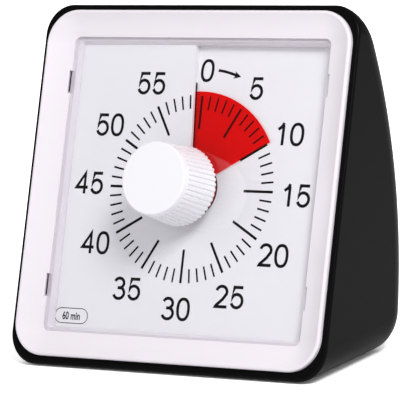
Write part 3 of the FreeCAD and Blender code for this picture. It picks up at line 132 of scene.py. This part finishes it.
def finish(name, base, rough, drift=0.04, grain=2500, depth=0.02, metal=0.0, shine=0.5):
    """Procedural finish: a colour that drifts a little, an uneven gloss and a fine grain."""
    material, maker, links, shader = new_material(name)
    spot = maker.new("ShaderNodeTexCoord")
    clouds = noise(maker, links, DRIFT_SCALE, DRIFT_DETAIL, spot)
    tone = maker.new("ShaderNodeMix")
    tone.data_type = "RGBA"
    darker = tuple(channel * (1 - drift) for channel in base[:3])
    tone.inputs["A"].default_value = (*darker, 1.0)
    tone.inputs["B"].default_value = base
    links.new(clouds.outputs["Fac"], tone.inputs["Factor"])
    links.new(tone.outputs["Result"], shader.inputs["Base Color"])
    gloss = maker.new("ShaderNodeMapRange")
    gloss.inputs["To Min"].default_value = max(SMOOTHEST, rough - GLOSS_SPREAD)
    gloss.inputs["To Max"].default_value = rough + GLOSS_SPREAD
    links.new(clouds.outputs["Fac"], gloss.inputs["Value"])
    links.new(gloss.outputs["Result"], shader.inputs["Roughness"])
    grains = noise(maker, links, grain, GRAIN_DETAIL, spot)
    bump = maker.new("ShaderNodeBump")
    bump.inputs["Strength"].default_value = depth
    bump.inputs["Distance"].default_value = GRAIN_DEPTH
    links.new(grains.outputs["Fac"], bump.inputs["Height"])
    links.new(bump.outputs["Normal"], shader.inputs["Normal"])
    shader.inputs["Metallic"].default_value = metal
    shader.inputs["Specular IOR Level"].default_value = shine
    return material


def dress(node_name, material):
    """Give a CAD piece its finish."""
    slots = nodes[node_name].data.materials
    slots.clear()
    slots.append(material)


print("drift of tone about", round(1 / DRIFT_SCALE / MM), "mm across")

# %% [markdown]
# ## The black case
# The wedge is satin black ABS. It is nearly black, and what the eye reads is the soft
# sheen of the room on its long rounded edges. So the base colour is kept very dark and
# the shape comes from a broad, weak reflection. The battery door and the switch's grip
# come out of the same kind of mould, with a slightly different roughness.

# %% Dress the case
case_black = finish(
    "satin black case", colour(13, 13, 13), 0.34, drift=0.2, depth=0.04, shine=0.07
)
door_black = finish("satin black door", colour(13, 13, 14), 0.4, drift=0.2, depth=0.05, shine=0.12)
grip_grey = finish("dark grey switch grip", colour(70, 71, 74), 0.5, drift=0.1, depth=0.05)
dress("rear_housing", case_black)
dress("battery_door", door_black)
dress("switch_slider", grip_grey)
print("case finishes:", case_black.name, door_black.name, grip_grey.name)

# %% [markdown]
# ## The white frame and the knob
# Both are glossy white ABS with a faint pink-lavender warmth. White plastic lets a
# little light soak in, which softens its inner corners. A small subsurface share could
# do that, but it is slow and hardly shows at this size, so the softness comes from a
# pale base colour, a low roughness and a broad studio light.

# %% Dress the frame and the knob
frame_white = finish("glossy white frame", colour(236, 230, 236), 0.24, drift=0.015, depth=0.01)
knob_white = finish("white knob", colour(240, 239, 243), 0.34, drift=0.012, depth=0.015)
hub_white = finish("white disc hub", colour(240, 238, 242), 0.4, drift=0.02)
dress("front_bezel", frame_white)
dress("knob", knob_white)
dress("disc_carrier", hub_white)
print("white finishes:", frame_white.name, knob_white.name, hub_white.name)

# %% [markdown]
# ## The dial plate
# The plate is a thin moulded sheet with a cool white satin face. It climbs like one turn
# of a screw, so that its two edges at the slit stand one above the other and the red
# disc can pass between them. Its finish is matte, so the printed numbers read clearly.

# %% Dress the dial plate
plate_white = finish(
    "cool white dial plate", colour(248, 247, 250), 0.5, drift=0.012, depth=0.01, shine=0.4
)
dress("dial_plate", plate_white)
print("plate finish:", plate_white.name)

# %% [markdown]
# ## The red disc
# The disc is a tinted plastic film: the printed marks under it still show. A Transparent
# shader coloured red acts like a colour filter, for the lamps and for the eye. A little
# red plastic mixed in gives the film its own body and gloss. Light crosses both faces of
# the film on its way in and again on its way out, so that share is kept small.

# %% Dress the red disc
FILM_SCALE = 40
FILM_DETAIL = 2
FILM_ROUGH = 0.18
FILM_TINT = (1.0, 0.012, 0.018, 1.0)
FILM_BODY = 0.055


def red_film():
    """Tinted film: a filter with a little body and a glossy face."""
    material, maker, links, shader = new_material("red film")
    spot = maker.new("ShaderNodeTexCoord")
    clouds = noise(maker, links, FILM_SCALE, FILM_DETAIL, spot)
    tone = maker.new("ShaderNodeMix")
    tone.data_type = "RGBA"
    tone.inputs["A"].default_value = colour(205, 4, 10)
    tone.inputs["B"].default_value = colour(222, 6, 12)
    links.new(clouds.outputs["Fac"], tone.inputs["Factor"])
    links.new(tone.outputs["Result"], shader.inputs["Base Color"])
    shader.inputs["Roughness"].default_value = FILM_ROUGH
    tint = maker.new("ShaderNodeBsdfTransparent")
    tint.inputs["Color"].default_value = FILM_TINT
    body = maker.new("ShaderNodeMixShader")
    body.inputs["Fac"].default_value = FILM_BODY
    links.new(tint.outputs["BSDF"], body.inputs[1])
    links.new(shader.outputs["BSDF"], body.inputs[2])
    links.new(body.outputs["Shader"], maker["Material Output"].inputs["Surface"])
    return material


dress("red_disc", red_film())
print("disc finish:", nodes["red_disc"].data.materials[0].name)

# %% [markdown]
# ## The clear window
# A flat acrylic sheet covers the dial, with a round hole for the knob. Real glass shaders
# block lamps unless caustics are traced, which would leave the dial dark. A thin flat
# sheet hardly bends what is behind it, so a Transparent shader with a mirror mixed in by
# Fresnel shows the same thing: the dial, plus a faint picture of the knob. The mirror
# works only on the side where light comes in. On the way out Fresnel would see light
# trapped in the sheet, and the dial would turn grey. Both faces of a real sheet mirror,
# so the one that works here counts twice.

# %% Dress the window
RIPPLE_SCALE = 25
RIPPLE_DETAIL = 1
RIPPLE_STRENGTH = 0.02
RIPPLE_DEPTH = 0.05 * MM
SHEET_TINT = (0.985, 0.985, 0.99, 1.0)
SHEET_ROUGH = 0.03
ACRYLIC_IOR = 1.49
SHEET_FACES = 2.0


def clear_sheet():
    """Clear acrylic: see-through, with a mirror that grows at grazing angles."""
    material, maker, links, shader = new_material("clear acrylic")
    maker.remove(shader)
    spot = maker.new("ShaderNodeTexCoord")
    ripples = noise(maker, links, RIPPLE_SCALE, RIPPLE_DETAIL, spot)
    bump = maker.new("ShaderNodeBump")
    bump.inputs["Strength"].default_value = RIPPLE_STRENGTH
    bump.inputs["Distance"].default_value = RIPPLE_DEPTH
    links.new(ripples.outputs["Fac"], bump.inputs["Height"])
    clear = maker.new("ShaderNodeBsdfTransparent")
    clear.inputs["Color"].default_value = SHEET_TINT
    mirror = maker.new("ShaderNodeBsdfAnisotropic")
    mirror.inputs["Roughness"].default_value = SHEET_ROUGH
    links.new(bump.outputs["Normal"], mirror.inputs["Normal"])
    fresnel = maker.new("ShaderNodeFresnel")
    fresnel.inputs["IOR"].default_value = ACRYLIC_IOR
    side = maker.new("ShaderNodeNewGeometry")
    entering = maker.new("ShaderNodeMath")
    entering.operation = "SUBTRACT"
    entering.inputs[0].default_value = 1.0
    links.new(side.outputs["Backfacing"], entering.inputs[1])
    both_faces = maker.new("ShaderNodeMath")
    both_faces.operation = "MULTIPLY"
    both_faces.inputs[1].default_value = SHEET_FACES
    both_faces.use_clamp = True
    links.new(fresnel.outputs["Fac"], both_faces.inputs[0])
    share = maker.new("ShaderNodeMath")
    share.operation = "MULTIPLY"
    links.new(both_faces.outputs["Value"], share.inputs[0])
    links.new(entering.outputs["Value"], share.inputs[1])
    mix = maker.new("ShaderNodeMixShader")
    links.new(share.outputs["Value"], mix.inputs["Fac"])
    links.new(clear.outputs["BSDF"], mix.inputs[1])
    links.new(mirror.outputs["BSDF"], mix.inputs[2])
    links.new(mix.outputs["Shader"], maker["Material Output"].inputs["Surface"])
    return material


dress("clear_lens", clear_sheet())
print("window finish:", nodes["clear_lens"].data.materials[0].name)

# %% [markdown]
# ## What is inside and underneath
# The movement, the battery and the screws are hidden from the front, but the part is
# also looked at from behind and taken apart. Each gets the finish of its real material:
# cream acetal gears, bright steel contacts, a green circuit board, copper on the coil.

# %% Finishes of the inner pieces
acetal = finish("cream acetal gears", colour(232, 226, 208), 0.45, drift=0.03)
grey_nylon = finish("pale grey moulding", colour(205, 206, 210), 0.5, drift=0.03)
movement_black = finish("black movement case", colour(38, 38, 42), 0.5, drift=0.1, depth=0.06)
steel = finish("bright steel", colour(198, 198, 202), 0.25, drift=0.08, metal=1.0)
zinc = finish("zinc-plated screws", colour(185, 187, 190), 0.32, drift=0.12, metal=1.0)
bronze = finish("spring bronze", colour(205, 168, 96), 0.28, drift=0.1, metal=1.0)
copper = finish(
    "enamelled copper wire", colour(176, 92, 46), 0.3, drift=0.2, grain=9000, depth=0.3, metal=1.0
)
magnet_grey = finish("dark magnet", colour(62, 62, 66), 0.4, drift=0.1, metal=0.6)
board_green = finish("green solder mask", colour(24, 92, 50), 0.35, drift=0.15)
resin_black = finish("black chip resin", colour(18, 18, 19), 0.25, drift=0.2)
cell_sleeve = finish("cell's printed sleeve", colour(120, 126, 134), 0.3, drift=0.05)
foot_rubber = finish("grey foot rubber", colour(58, 58, 60), 0.8, drift=0.12, depth=0.15, shine=0.3)
lead_red = finish("red lead insulation", colour(190, 28, 30), 0.45, drift=0.05)
lead_black = finish("black lead insulation", colour(30, 30, 32), 0.45, drift=0.1)
lead_yellow = finish("yellow lead insulation", colour(214, 190, 40), 0.45, drift=0.05)
print("steel is metal:", steel.name, "and the gears are plastic:", acetal.name)

# %% [markdown]
# One table says which piece gets which finish. A line of code per piece would do the
# same, but a table shows at a glance that no piece was forgotten.

# %% Dress the inner pieces
FINISHES = {
    acetal: ["center_wheel", "third_wheel", "second_wheel", "first_wheel", "alarm_cam", "spindle"],
    grey_nylon: ["mounting_plate", "coil_bobbin"],
    movement_black: ["movement_front", "movement_back", "buzzer_case"],
    steel: [
        "clutch_spring",
        "retaining_ring",
        "stator",
        "switch_body",
        "quartz_crystal",
        "battery_contact_positive",
        "battery_contact_negative",
        "battery_spring",
    ],
    zinc: ["case_screws", "frame_screws", "movement_screws"],
    bronze: ["alarm_contact", "buzzer_disc"],
    copper: ["coil_winding"],
    magnet_grey: ["rotor"],
    board_green: ["circuit_board"],
    resin_black: ["timer_chip"],
    cell_sleeve: ["battery_cell"],
    foot_rubber: ["rubber_feet"],
    lead_red: ["battery_leads"],
    lead_black: ["buzzer_leads"],
    lead_yellow: ["switch_leads"],
}
for material, names in FINISHES.items():
    for node_name in names:
        dress(node_name, material)
print("inner finishes:", len(FINISHES))

# %% [markdown]
# ## How high the plate is at each point
# Print lies on the plate's face, and the face climbs clockwise from the slit. To lay ink
# on it, we need its height anywhere. A ray could be shot at the mesh for each point, but
# the rule is simple enough to write: an even climb round the dial, and beyond the slit's
# reach a gentle slope that makes the step at the edge deeper. The height is then checked
# against the plate's own mesh.

# %% The plate's face
SLIT_ANGLE = 94.0
PLATE_PITCH = 2.4
SLIT_REACH = 39.4
PLATE_EDGE = 80.0
EDGE_DROP = 2.1
RAY_START = 3.0
TEST_SPOTS = ((20, 20), (-44, 3), (-46, -48.6), (30, 45))


def plate_height(x, y):
    """Height of the plate's face, in millimetres, at a place on the dial."""
    angle = math.degrees(math.atan2(y, x))
    share = ((SLIT_ANGLE - angle) % 360) / 360
    beyond = max(0.0, math.hypot(x, y) - SLIT_REACH) / (PLATE_EDGE - SLIT_REACH)
    return PLATE_PITCH * (share - 0.5) - (1 - share) * EDGE_DROP * beyond


def ray_height(x, y):
    """Height of the plate's mesh at a place on the dial, measured with a ray."""
    hit, spot, _, _ = nodes["dial_plate"].ray_cast(on_dial(x, y, RAY_START), -OUT)
    return (spot - DIAL_CENTRE).dot(OUT) / MM if hit else None


for spot in TEST_SPOTS:
    print("plate at", spot, "rule", round(plate_height(*spot), 3), "mesh", ray_height(*spot))

# %% [markdown]
# ## Ink
# The marks are screen-printed: a thin, very dark, slightly satin layer. Painting them in
# the plate's shader would tie them to one material. Thin flat meshes laid just above
# the face keep crisp edges from any distance, and they ride with the case.

# %% Ink and a helper that lays flat shapes on the plate
INK_LIFT = 0.03
ink = finish("black dial ink", colour(7, 7, 10), 0.5, drift=0.2, shine=0.15)
dial_group = []


def lay_on_plate(name, points, faces):
    """Mesh of flat shapes, given in millimetres on the dial, laid on the plate's face."""
    mesh = bpy.data.meshes.new(name)
    laid = [on_dial(x, y, plate_height(x, y) + INK_LIFT) for x, y in points]
    mesh.from_pydata(laid, [], faces)
    mesh.materials.append(ink)
    piece = bpy.data.objects.new(name, mesh)
    bpy.context.collection.objects.link(piece)
    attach(piece, "case")
    dial_group.append(piece)
    return piece


print("ink:", ink.name, "lies", INK_LIFT, "mm above the plate")

# %% [markdown]
# ## The minute marks
# Sixty radial strokes end on one ring. Every fifth is longer and wider. A rotated
# rectangle per mark would do; building all sixty in one mesh keeps one piece to export,
# and a row of points along each side of a stroke lets it follow the climbing face.

# %% Sixty minute marks
MINUTES = 60
MINUTE_TURN = 360 / MINUTES
TOP_ANGLE = 90
NUMBER_EVERY = 5
RING = 34.5
LONG_MARK = (22.2, 0.98)
SHORT_MARK = (29.4, 0.7)
STROKE_STEPS = 4


def stroke(inner, outer, width, angle):
    """Corners of a radial stroke: out along its left side and back along its right."""
    way = Vector((math.cos(angle), math.sin(angle)))
    side = Vector((-way.y, way.x)) * (width / 2)
    shares = [step / STROKE_STEPS for step in range(STROKE_STEPS + 1)]
    rows = [way * (inner + (outer - inner) * share) for share in shares]
    return [row + side for row in rows] + [row - side for row in reversed(rows)]


mark_points, mark_faces = [], []
for minute in range(MINUTES):
    inner, width = SHORT_MARK if minute % NUMBER_EVERY else LONG_MARK
    corners = stroke(inner, RING, width, math.radians(TOP_ANGLE - MINUTE_TURN * minute))
    first = len(mark_points)
    last = first + len(corners) - 1
    mark_points += [(corner.x, corner.y) for corner in corners]
    for step in range(STROKE_STEPS):
        mark_faces.append([first + step, first + step + 1, last - step - 1, last - step])
lay_on_plate("minute_marks", mark_points, mark_faces)
print("minute marks:", len(mark_faces) // STROKE_STEPS)

# %% [markdown]
# ## The shapes of the digits
# The numbers are upright, in a plain even sans. Blender's own font has other shapes, and
# only six different digits are needed here. So each digit is drawn as one or two centre
# lines made of straight runs and arcs, in millimetres round the digit's own centre.

# %% Digits as centre lines
ARC_STEPS = 14
RING_STEPS = 32


def arc(x, y, across, up, start, stop):
    """Points of an elliptic arc, in degrees, counted anticlockwise from the right."""
    turns = [start + (stop - start) * step / ARC_STEPS for step in range(ARC_STEPS + 1)]
    angles = [math.radians(turn) for turn in turns]
    return [(x + across * math.cos(angle), y + up * math.sin(angle)) for angle in angles]


def tall_ring(across, up, fullness):
    """Closed ring of a zero, a little squarer than an ellipse."""
    points = []
    for step in range(RING_STEPS + 1):
        angle = 2 * math.pi * step / RING_STEPS
        cosine, sine = math.cos(angle), math.sin(angle)
        x = math.copysign(abs(cosine) ** fullness, cosine) * across
        points.append((x, math.copysign(abs(sine) ** fullness, sine) * up))
    return points


TWO_FOOT = [(0.6, -0.9), (-2.0, -3.2), (-2.25, -3.65), (2.5, -3.65)]
THREE_WAIST = [(-0.75, 0.25)]
FIVE_TOP = [(2.25, 3.62), (-1.35, 3.62), (-1.95, -0.25)]
DIGITS = {
    "0": [tall_ring(2.3, 3.75, 0.86)],
    "1": [[(0.75, -4.1), (0.75, 3.2)], [(-1.35, 1.65), (-0.3, 2.35), (0.45, 3.2), (0.8, 4.1)]],
    "2": [arc(0.0, 1.75, 2.15, 2.0, 168, -22) + TWO_FOOT],
    "3": [arc(-0.1, 1.95, 2.0, 1.8, 160, -82) + THREE_WAIST, arc(-0.05, -1.7, 2.3, 2.05, 80, -162)],
    "4": [[(1.1, -4.1), (1.1, 3.5), (-2.45, -1.75), (2.55, -1.75)]],
    "5": [FIVE_TOP + arc(-0.05, -1.3, 2.3, 2.42, 140, -160)],
}
print("digits drawn:", " ".join(DIGITS))

# %% [markdown]
# ## The numbers
# The numbers run clockwise from 0 to 55, on a ring outside the marks. A strip of even
# width is laid along each centre line. Blender's curves could give the line its width,
# but a strip of plain faces is easier to lay on the climbing face.

# %% Twelve printed numbers
NUMBER_RING = 43.9
NUMBER_TURN = -1.2
DIGIT_STEP = 6.5
DIGIT_LINE = 1.14
SHARPEST_CORNER = 0.35


def strip(points, width):
    """Strip of even width along a line; returns its points and faces."""
    sides = []
    for place, point in enumerate(points):
        before = Vector(points[max(place - 1, 0)])
        after = Vector(points[min(place + 1, len(points) - 1)])
        here = Vector(point)
        coming = (here - before).normalized() if place else (after - here).normalized()
        leaving = (after - here).normalized() if place < len(points) - 1 else coming
        middle = (coming + leaving).normalized()
        reach = width / 2 / max(middle.dot(coming), SHARPEST_CORNER)
        across = Vector((-middle.y, middle.x)) * reach
        sides += [here + across, here - across]
    faces = [[2 * row, 2 * row + 1, 2 * row + 3, 2 * row + 2] for row in range(len(points) - 1)]
    return [(side.x, side.y) for side in sides], faces


def printed_number(name, digits, centre):
    """Number on the plate, its digits side by side round its centre."""
    points, faces = [], []
    for place, digit in enumerate(digits):
        middle = centre[0] + (place - (len(digits) - 1) / 2) * DIGIT_STEP
        for line in DIGITS[digit]:
            corners, quads = strip(line, DIGIT_LINE)
            first = len(points)
            points += [(x + middle, y + centre[1]) for x, y in corners]
            faces += [[first + corner for corner in quad] for quad in quads]
    return lay_on_plate(name, points, faces)


numbers = range(0, MINUTES, NUMBER_EVERY)
for number in numbers:
    angle = math.radians(TOP_ANGLE - MINUTE_TURN * number + NUMBER_TURN)
    centre = (NUMBER_RING * math.cos(angle), NUMBER_RING * math.sin(angle))
    printed_number("number_%02d" % number, str(number), centre)
print("numbers:", len(numbers))

# %% [markdown]
# ## The arrow
# A small arrow by the 0 shows which way to turn the knob. Its shaft bows a little, as if
# drawn by hand along the ring of numbers. A straight bar with a triangle would be
# simpler but stiffer, so the shaft is a strip of short faces that follow a shallow bow.

# %% Arrow by the 0
ARROW_TAIL = Vector((5.6, 44.0))
ARROW_TIP = Vector((15.6, 41.7))
ARROW_SAG = 0.25
ARROW_WIDTH = 1.0
ARROW_STEPS = 8
HEAD_LENGTH = 3.1
HEAD_WIDTH = 2.8
HEAD_NOTCH = 0.7
HEAD_CLEAR_SHARE = 0.7


def arrow():
    """Slightly bowed arrow as one strip with a notched head."""
    way = (ARROW_TIP - ARROW_TAIL).normalized()
    side = Vector((-way.y, way.x))
    shaft = (ARROW_TIP - ARROW_TAIL).length - HEAD_LENGTH * HEAD_CLEAR_SHARE
    points, faces = [], []
    for step in range(ARROW_STEPS + 1):
        share = step / ARROW_STEPS
        middle = ARROW_TAIL + way * shaft * share + side * ARROW_SAG * 4 * share * (1 - share)
        points += [middle + side * ARROW_WIDTH / 2, middle - side * ARROW_WIDTH / 2]
        if step:
            last = 2 * step
            faces.append([last - 2, last - 1, last + 1, last])
    base = ARROW_TIP - way * HEAD_LENGTH
    wing = side * HEAD_WIDTH / 2
    first = len(points)
    points += [ARROW_TIP, base + wing, base + way * HEAD_NOTCH, base - wing]
    faces.append([first, first + 1, first + 2])
    faces.append([first, first + 2, first + 3])
    return lay_on_plate("arrow", [(point.x, point.y) for point in points], faces)


arrow()
print("arrow length:", round((ARROW_TIP - ARROW_TAIL).length, 1), "mm")

# %% [markdown]
# ## The range label
# A rounded outline at the lower left holds the dial's full range. It is two half circles
# joined by straight lines. An outline made by cutting one filled shape from another
# would need a boolean; two rows of points, one inside the other, need none.

# %% Outline of the range label
LABEL_CENTRE = (-46.0, -48.6)
LABEL_HALF = (7.4, 2.9)
LABEL_LINE = 0.28
END_STEPS = 12


def label_outline():
    """Rounded outline round the range label."""
    points, faces = [], []
    radius = LABEL_HALF[1]
    for side in (1, -1):
        centre_x = LABEL_CENTRE[0] + side * (LABEL_HALF[0] - radius)
        for step in range(END_STEPS + 1):
            angle = math.radians(-90 + 180 * step / END_STEPS) + (0 if side == 1 else math.pi)
            for reach in (radius, radius - LABEL_LINE):
                y = LABEL_CENTRE[1] + reach * math.sin(angle)
                points.append((centre_x + reach * math.cos(angle), y))
    count = len(points) // 2
    for step in range(count):
        here, there = 2 * step, 2 * ((step + 1) % count)
        faces.append([here, there, there + 1, here + 1])
    return lay_on_plate("range_outline", points, faces)


label_outline()
print("range outline:", 2 * LABEL_HALF[0], "by", 2 * LABEL_HALF[1], "mm")

# %% [markdown]
# The words inside are small and plain. At this size Blender's own font is near enough,
# squeezed sideways and a little thickened. The text is turned into a mesh, because the
# ink has to follow the plate's face point by point, which a text object can't do.

# %% Words of the range label
WORD_HEIGHT = 3.0
WORD_SQUEEZE = 0.72
WORD_WEIGHT = 0.22
WORD_SMOOTHNESS = 5
DRAFT_SIZE = 10.0


def printed_words(name, words, centre):
    """Small words on the plate, from Blender's own font, squeezed sideways."""
    curve = bpy.data.curves.new(name, "FONT")
    curve.body = words
    curve.size = DRAFT_SIZE
    curve.offset = WORD_WEIGHT
    curve.resolution_u = WORD_SMOOTHNESS
    draft = bpy.data.objects.new(name, curve)
    bpy.context.collection.objects.link(draft)
    graph = bpy.context.evaluated_depsgraph_get()
    flat = bpy.data.meshes.new_from_object(draft.evaluated_get(graph))
    bpy.data.objects.remove(draft)
    xs = [vertex.co.x for vertex in flat.vertices]
    ys = [vertex.co.y for vertex in flat.vertices]
    scale = WORD_HEIGHT / (max(ys) - min(ys))
    points = []
    for vertex in flat.vertices:
        x = (vertex.co.x - (min(xs) + max(xs)) / 2) * scale * WORD_SQUEEZE + centre[0]
        points.append((x, (vertex.co.y - (min(ys) + max(ys)) / 2) * scale + centre[1]))
    return lay_on_plate(name, points, [list(polygon.vertices) for polygon in flat.polygons])


printed_words("range_words", "60 min", LABEL_CENTRE)
print("dial print:", len(dial_group), "pieces")

# %% [markdown]
# ## Painted shade in the gaps at the window's tabs
# The window clips in with four small tabs. Between each tab and the frame is a narrow
# gap, so deep that it lies in shade and looks black. The photograph shows it at the two
# left tabs, where the CAD tab fills its slot closely. A thin dark strip over the tab's end
# is painted shade that stands for it.

# %% Painted shade in the tab gaps
TAB_MIDDLE = 38.0
TAB_HALF = 3.7
GAP_NEAR = 54.95
GAP_FAR = 55.5
TAB_FACE = 4.12
SHADE_CORNERS = (
    (-GAP_FAR, -TAB_HALF),
    (-GAP_NEAR, -TAB_HALF),
    (-GAP_NEAR, TAB_HALF),
    (-GAP_FAR, TAB_HALF),
)
# Painted shade: a dark colour that stands for the shadow deep in each tab's gap.
gap_painted_shade = finish("painted gap shade", colour(34, 31, 38), 0.7, drift=0.2, shine=0.1)
shade_points, shade_faces = [], []
for middle in (-TAB_MIDDLE, TAB_MIDDLE):
    first = len(shade_points)
    shade_points += [on_dial(x, middle + y, TAB_FACE) for x, y in SHADE_CORNERS]
    shade_faces.append([first, first + 1, first + 2, first + 3])
# The strips of painted shade, one over each left tab's end.
shade_mesh = bpy.data.meshes.new("tab_gap_painted_shade")
shade_mesh.from_pydata(shade_points, [], shade_faces)
shade_mesh.materials.append(gap_painted_shade)
tab_gap_painted_shade = bpy.data.objects.new("tab_gap_painted_shade", shade_mesh)
bpy.context.collection.objects.link(tab_gap_painted_shade)
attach(tab_gap_painted_shade, "case")
print("tab gaps:", len(shade_faces))

# %% [markdown]
# ## Floor and backdrop
# The product stands on white with a soft shadow round its base. The floor is a plain
# pale diffuse plane. The camera alone sees it in a brighter tone with a weak glow, which
# turns the lit floor white and leaves the shadow, and no more light falls on the timer
# than before. It lies a hair below the feet, so that no two faces share one plane.

# %% Studio floor
FLOOR_SIZE = 12.0
FLOOR_TONE = (0.82, 0.82, 0.83, 1.0)
FLOOR_SEEN = 1.85
FLOOR_LIFT = 0.04
FLOOR_DROP = 0.2 * MM


def studio_floor():
    """Pale floor that the camera sees as white, with the timer's shadow."""
    bpy.ops.mesh.primitive_plane_add(size=FLOOR_SIZE, location=(0, 0, -FLOOR_DROP))
    floor = bpy.context.object
    floor.name = "studio_floor"
    material, maker, links, shader = new_material("pale studio floor")
    maker.remove(shader)
    path = maker.new("ShaderNodeLightPath")
    tone = maker.new("ShaderNodeMix")
    tone.data_type = "RGBA"
    tone.inputs["A"].default_value = FLOOR_TONE
    tone.inputs["B"].default_value = (FLOOR_SEEN, FLOOR_SEEN, FLOOR_SEEN, 1.0)
    links.new(path.outputs["Is Camera Ray"], tone.inputs["Factor"])
    matte = maker.new("ShaderNodeBsdfDiffuse")
    links.new(tone.outputs["Result"], matte.inputs["Color"])
    glow = maker.new("ShaderNodeEmission")
    glow.inputs["Color"].default_value = (1, 1, 1, 1)
    lift = maker.new("ShaderNodeMath")
    lift.operation = "MULTIPLY"
    lift.inputs[1].default_value = FLOOR_LIFT
    links.new(path.outputs["Is Camera Ray"], lift.inputs[0])
    links.new(lift.outputs["Value"], glow.inputs["Strength"])
    both = maker.new("ShaderNodeAddShader")
    links.new(matte.outputs["BSDF"], both.inputs[0])
    links.new(glow.outputs["Emission"], both.inputs[1])
    links.new(both.outputs["Shader"], maker["Material Output"].inputs["Surface"])
    floor.data.materials.append(material)
    return floor


studio_floor()
print("floor lift", FLOOR_LIFT)

# %% [markdown]
# ## Lamps
# The photograph has one broad lamp high on the right: the frame throws a soft shadow
# along the dial's right edge and the knob a faint one to its left. One large Area lamp
# gives that direction, and a second weak one opens the shadows on the left. It leaves no
# mirror image, which would lie on the window like a grey veil. A lamp on the right draws
# the line of light down the black side, and one behind shows the shape of the dark back.

# %% Four lamps
LAMPS = (
    ("key_lamp", (0.62, -0.5, 0.72), 0.3, 6.3, True),
    ("fill_lamp", (-0.9, -0.9, 0.6), 0.9, 2.7, False),
    ("side_lamp", (1.1, 0.35, 0.35), 0.25, 0.3, True),
    ("back_lamp", (-0.35, 1.0, 0.8), 0.5, 3.0, True),
)


def area_lamp(name, spot, size, power, mirrored):
    """Square lamp that faces the dial, with a mirror image on glossy faces or without."""
    lamp = bpy.data.lights.new(name, "AREA")
    lamp.size = size
    lamp.energy = power
    holder = bpy.data.objects.new(name, lamp)
    holder.location = spot
    holder.rotation_mode = "QUATERNION"
    holder.rotation_quaternion = (DIAL_CENTRE - holder.location).to_track_quat("-Z", "Y")
    holder.visible_glossy = mirrored
    bpy.context.collection.objects.link(holder)
    return holder


for lamp_row in LAMPS:
    area_lamp(*lamp_row)
print("lamps:", len(LAMPS), "with", round(sum(row[3] for row in LAMPS), 1), "watts")

# %% [markdown]
# ## The room
# The rest of the photograph's light is a bright even room. The world gives it. The
# window mirrors hardly anything but the knob, so mirrors see a much darker room than
# matte faces do. The camera sees plain white behind the timer.

# %% World
ROOM_TONE = (0.99, 0.985, 1.0, 1.0)
ROOM_LIGHT = 0.54
ROOM_MIRRORED = 0.11


def studio_world():
    """Even pale room: white to the camera, dimmer as light and darker still in mirrors."""
    world = bpy.data.worlds.new("studio room")
    bpy.context.scene.world = world
    world.use_nodes = True
    maker, links = world.node_tree.nodes, world.node_tree.links
    room = maker["Background"]
    room.inputs["Color"].default_value = ROOM_TONE
    white = maker.new("ShaderNodeBackground")
    white.inputs["Color"].default_value = (1, 1, 1, 1)
    path = maker.new("ShaderNodeLightPath")
    seen = maker.new("ShaderNodeMath")
    seen.operation = "MAXIMUM"
    links.new(path.outputs["Is Camera Ray"], seen.inputs[0])
    links.new(path.outputs["Is Transmission Ray"], seen.inputs[1])
    mix = maker.new("ShaderNodeMixShader")
    mirrored = maker.new("ShaderNodeMapRange")
    mirrored.inputs["To Min"].default_value = ROOM_LIGHT
    mirrored.inputs["To Max"].default_value = ROOM_MIRRORED
    links.new(path.outputs["Is Glossy Ray"], mirrored.inputs["Value"])
    links.new(mirrored.outputs["Result"], room.inputs["Strength"])
    links.new(seen.outputs["Value"], mix.inputs["Fac"])
    links.new(room.outputs["Background"], mix.inputs[1])
    links.new(white.outputs["Background"], mix.inputs[2])
    links.new(mix.outputs["Shader"], maker["World Output"].inputs["Surface"])


studio_world()
print("room light", ROOM_LIGHT)

# %% [markdown]
# ## Camera
# The photograph was taken from the right of the dial with a long lens. The straight
# edges of the frame and the ring of marks gave the camera's place: its distance, the
# turn and dip of its view, and a slight roll.

# %% Camera
CAMERA_SPOT = (658.8, -139.5, 1026.2)
CAMERA_AIM = (4.9, -6.8, 0.0)
CAMERA_ROLL = 4.548
CAMERA_LENS = 304.8
SENSOR_WIDTH = 36.0
NEAREST_SEEN = 0.1

camera_data = bpy.data.cameras.new("photo_camera")
camera_data.sensor_fit = "HORIZONTAL"
camera_data.sensor_width = SENSOR_WIDTH
camera_data.lens = CAMERA_LENS
camera_data.clip_start = NEAREST_SEEN
camera = bpy.data.objects.new("photo_camera", camera_data)
camera.location = on_dial(*CAMERA_SPOT)
aim = (on_dial(*CAMERA_AIM) - camera.location).to_track_quat("-Z", "Y").to_matrix()
roll = Matrix.Rotation(math.radians(-CAMERA_ROLL), 3, "Z")
camera.rotation_mode = "QUATERNION"
camera.rotation_quaternion = (aim @ roll).to_quaternion()
bpy.context.collection.objects.link(camera)
bpy.context.scene.camera = camera
bpy.context.scene.view_settings.view_transform = "Standard"
print("camera at", [round(v, 3) for v in camera.location])
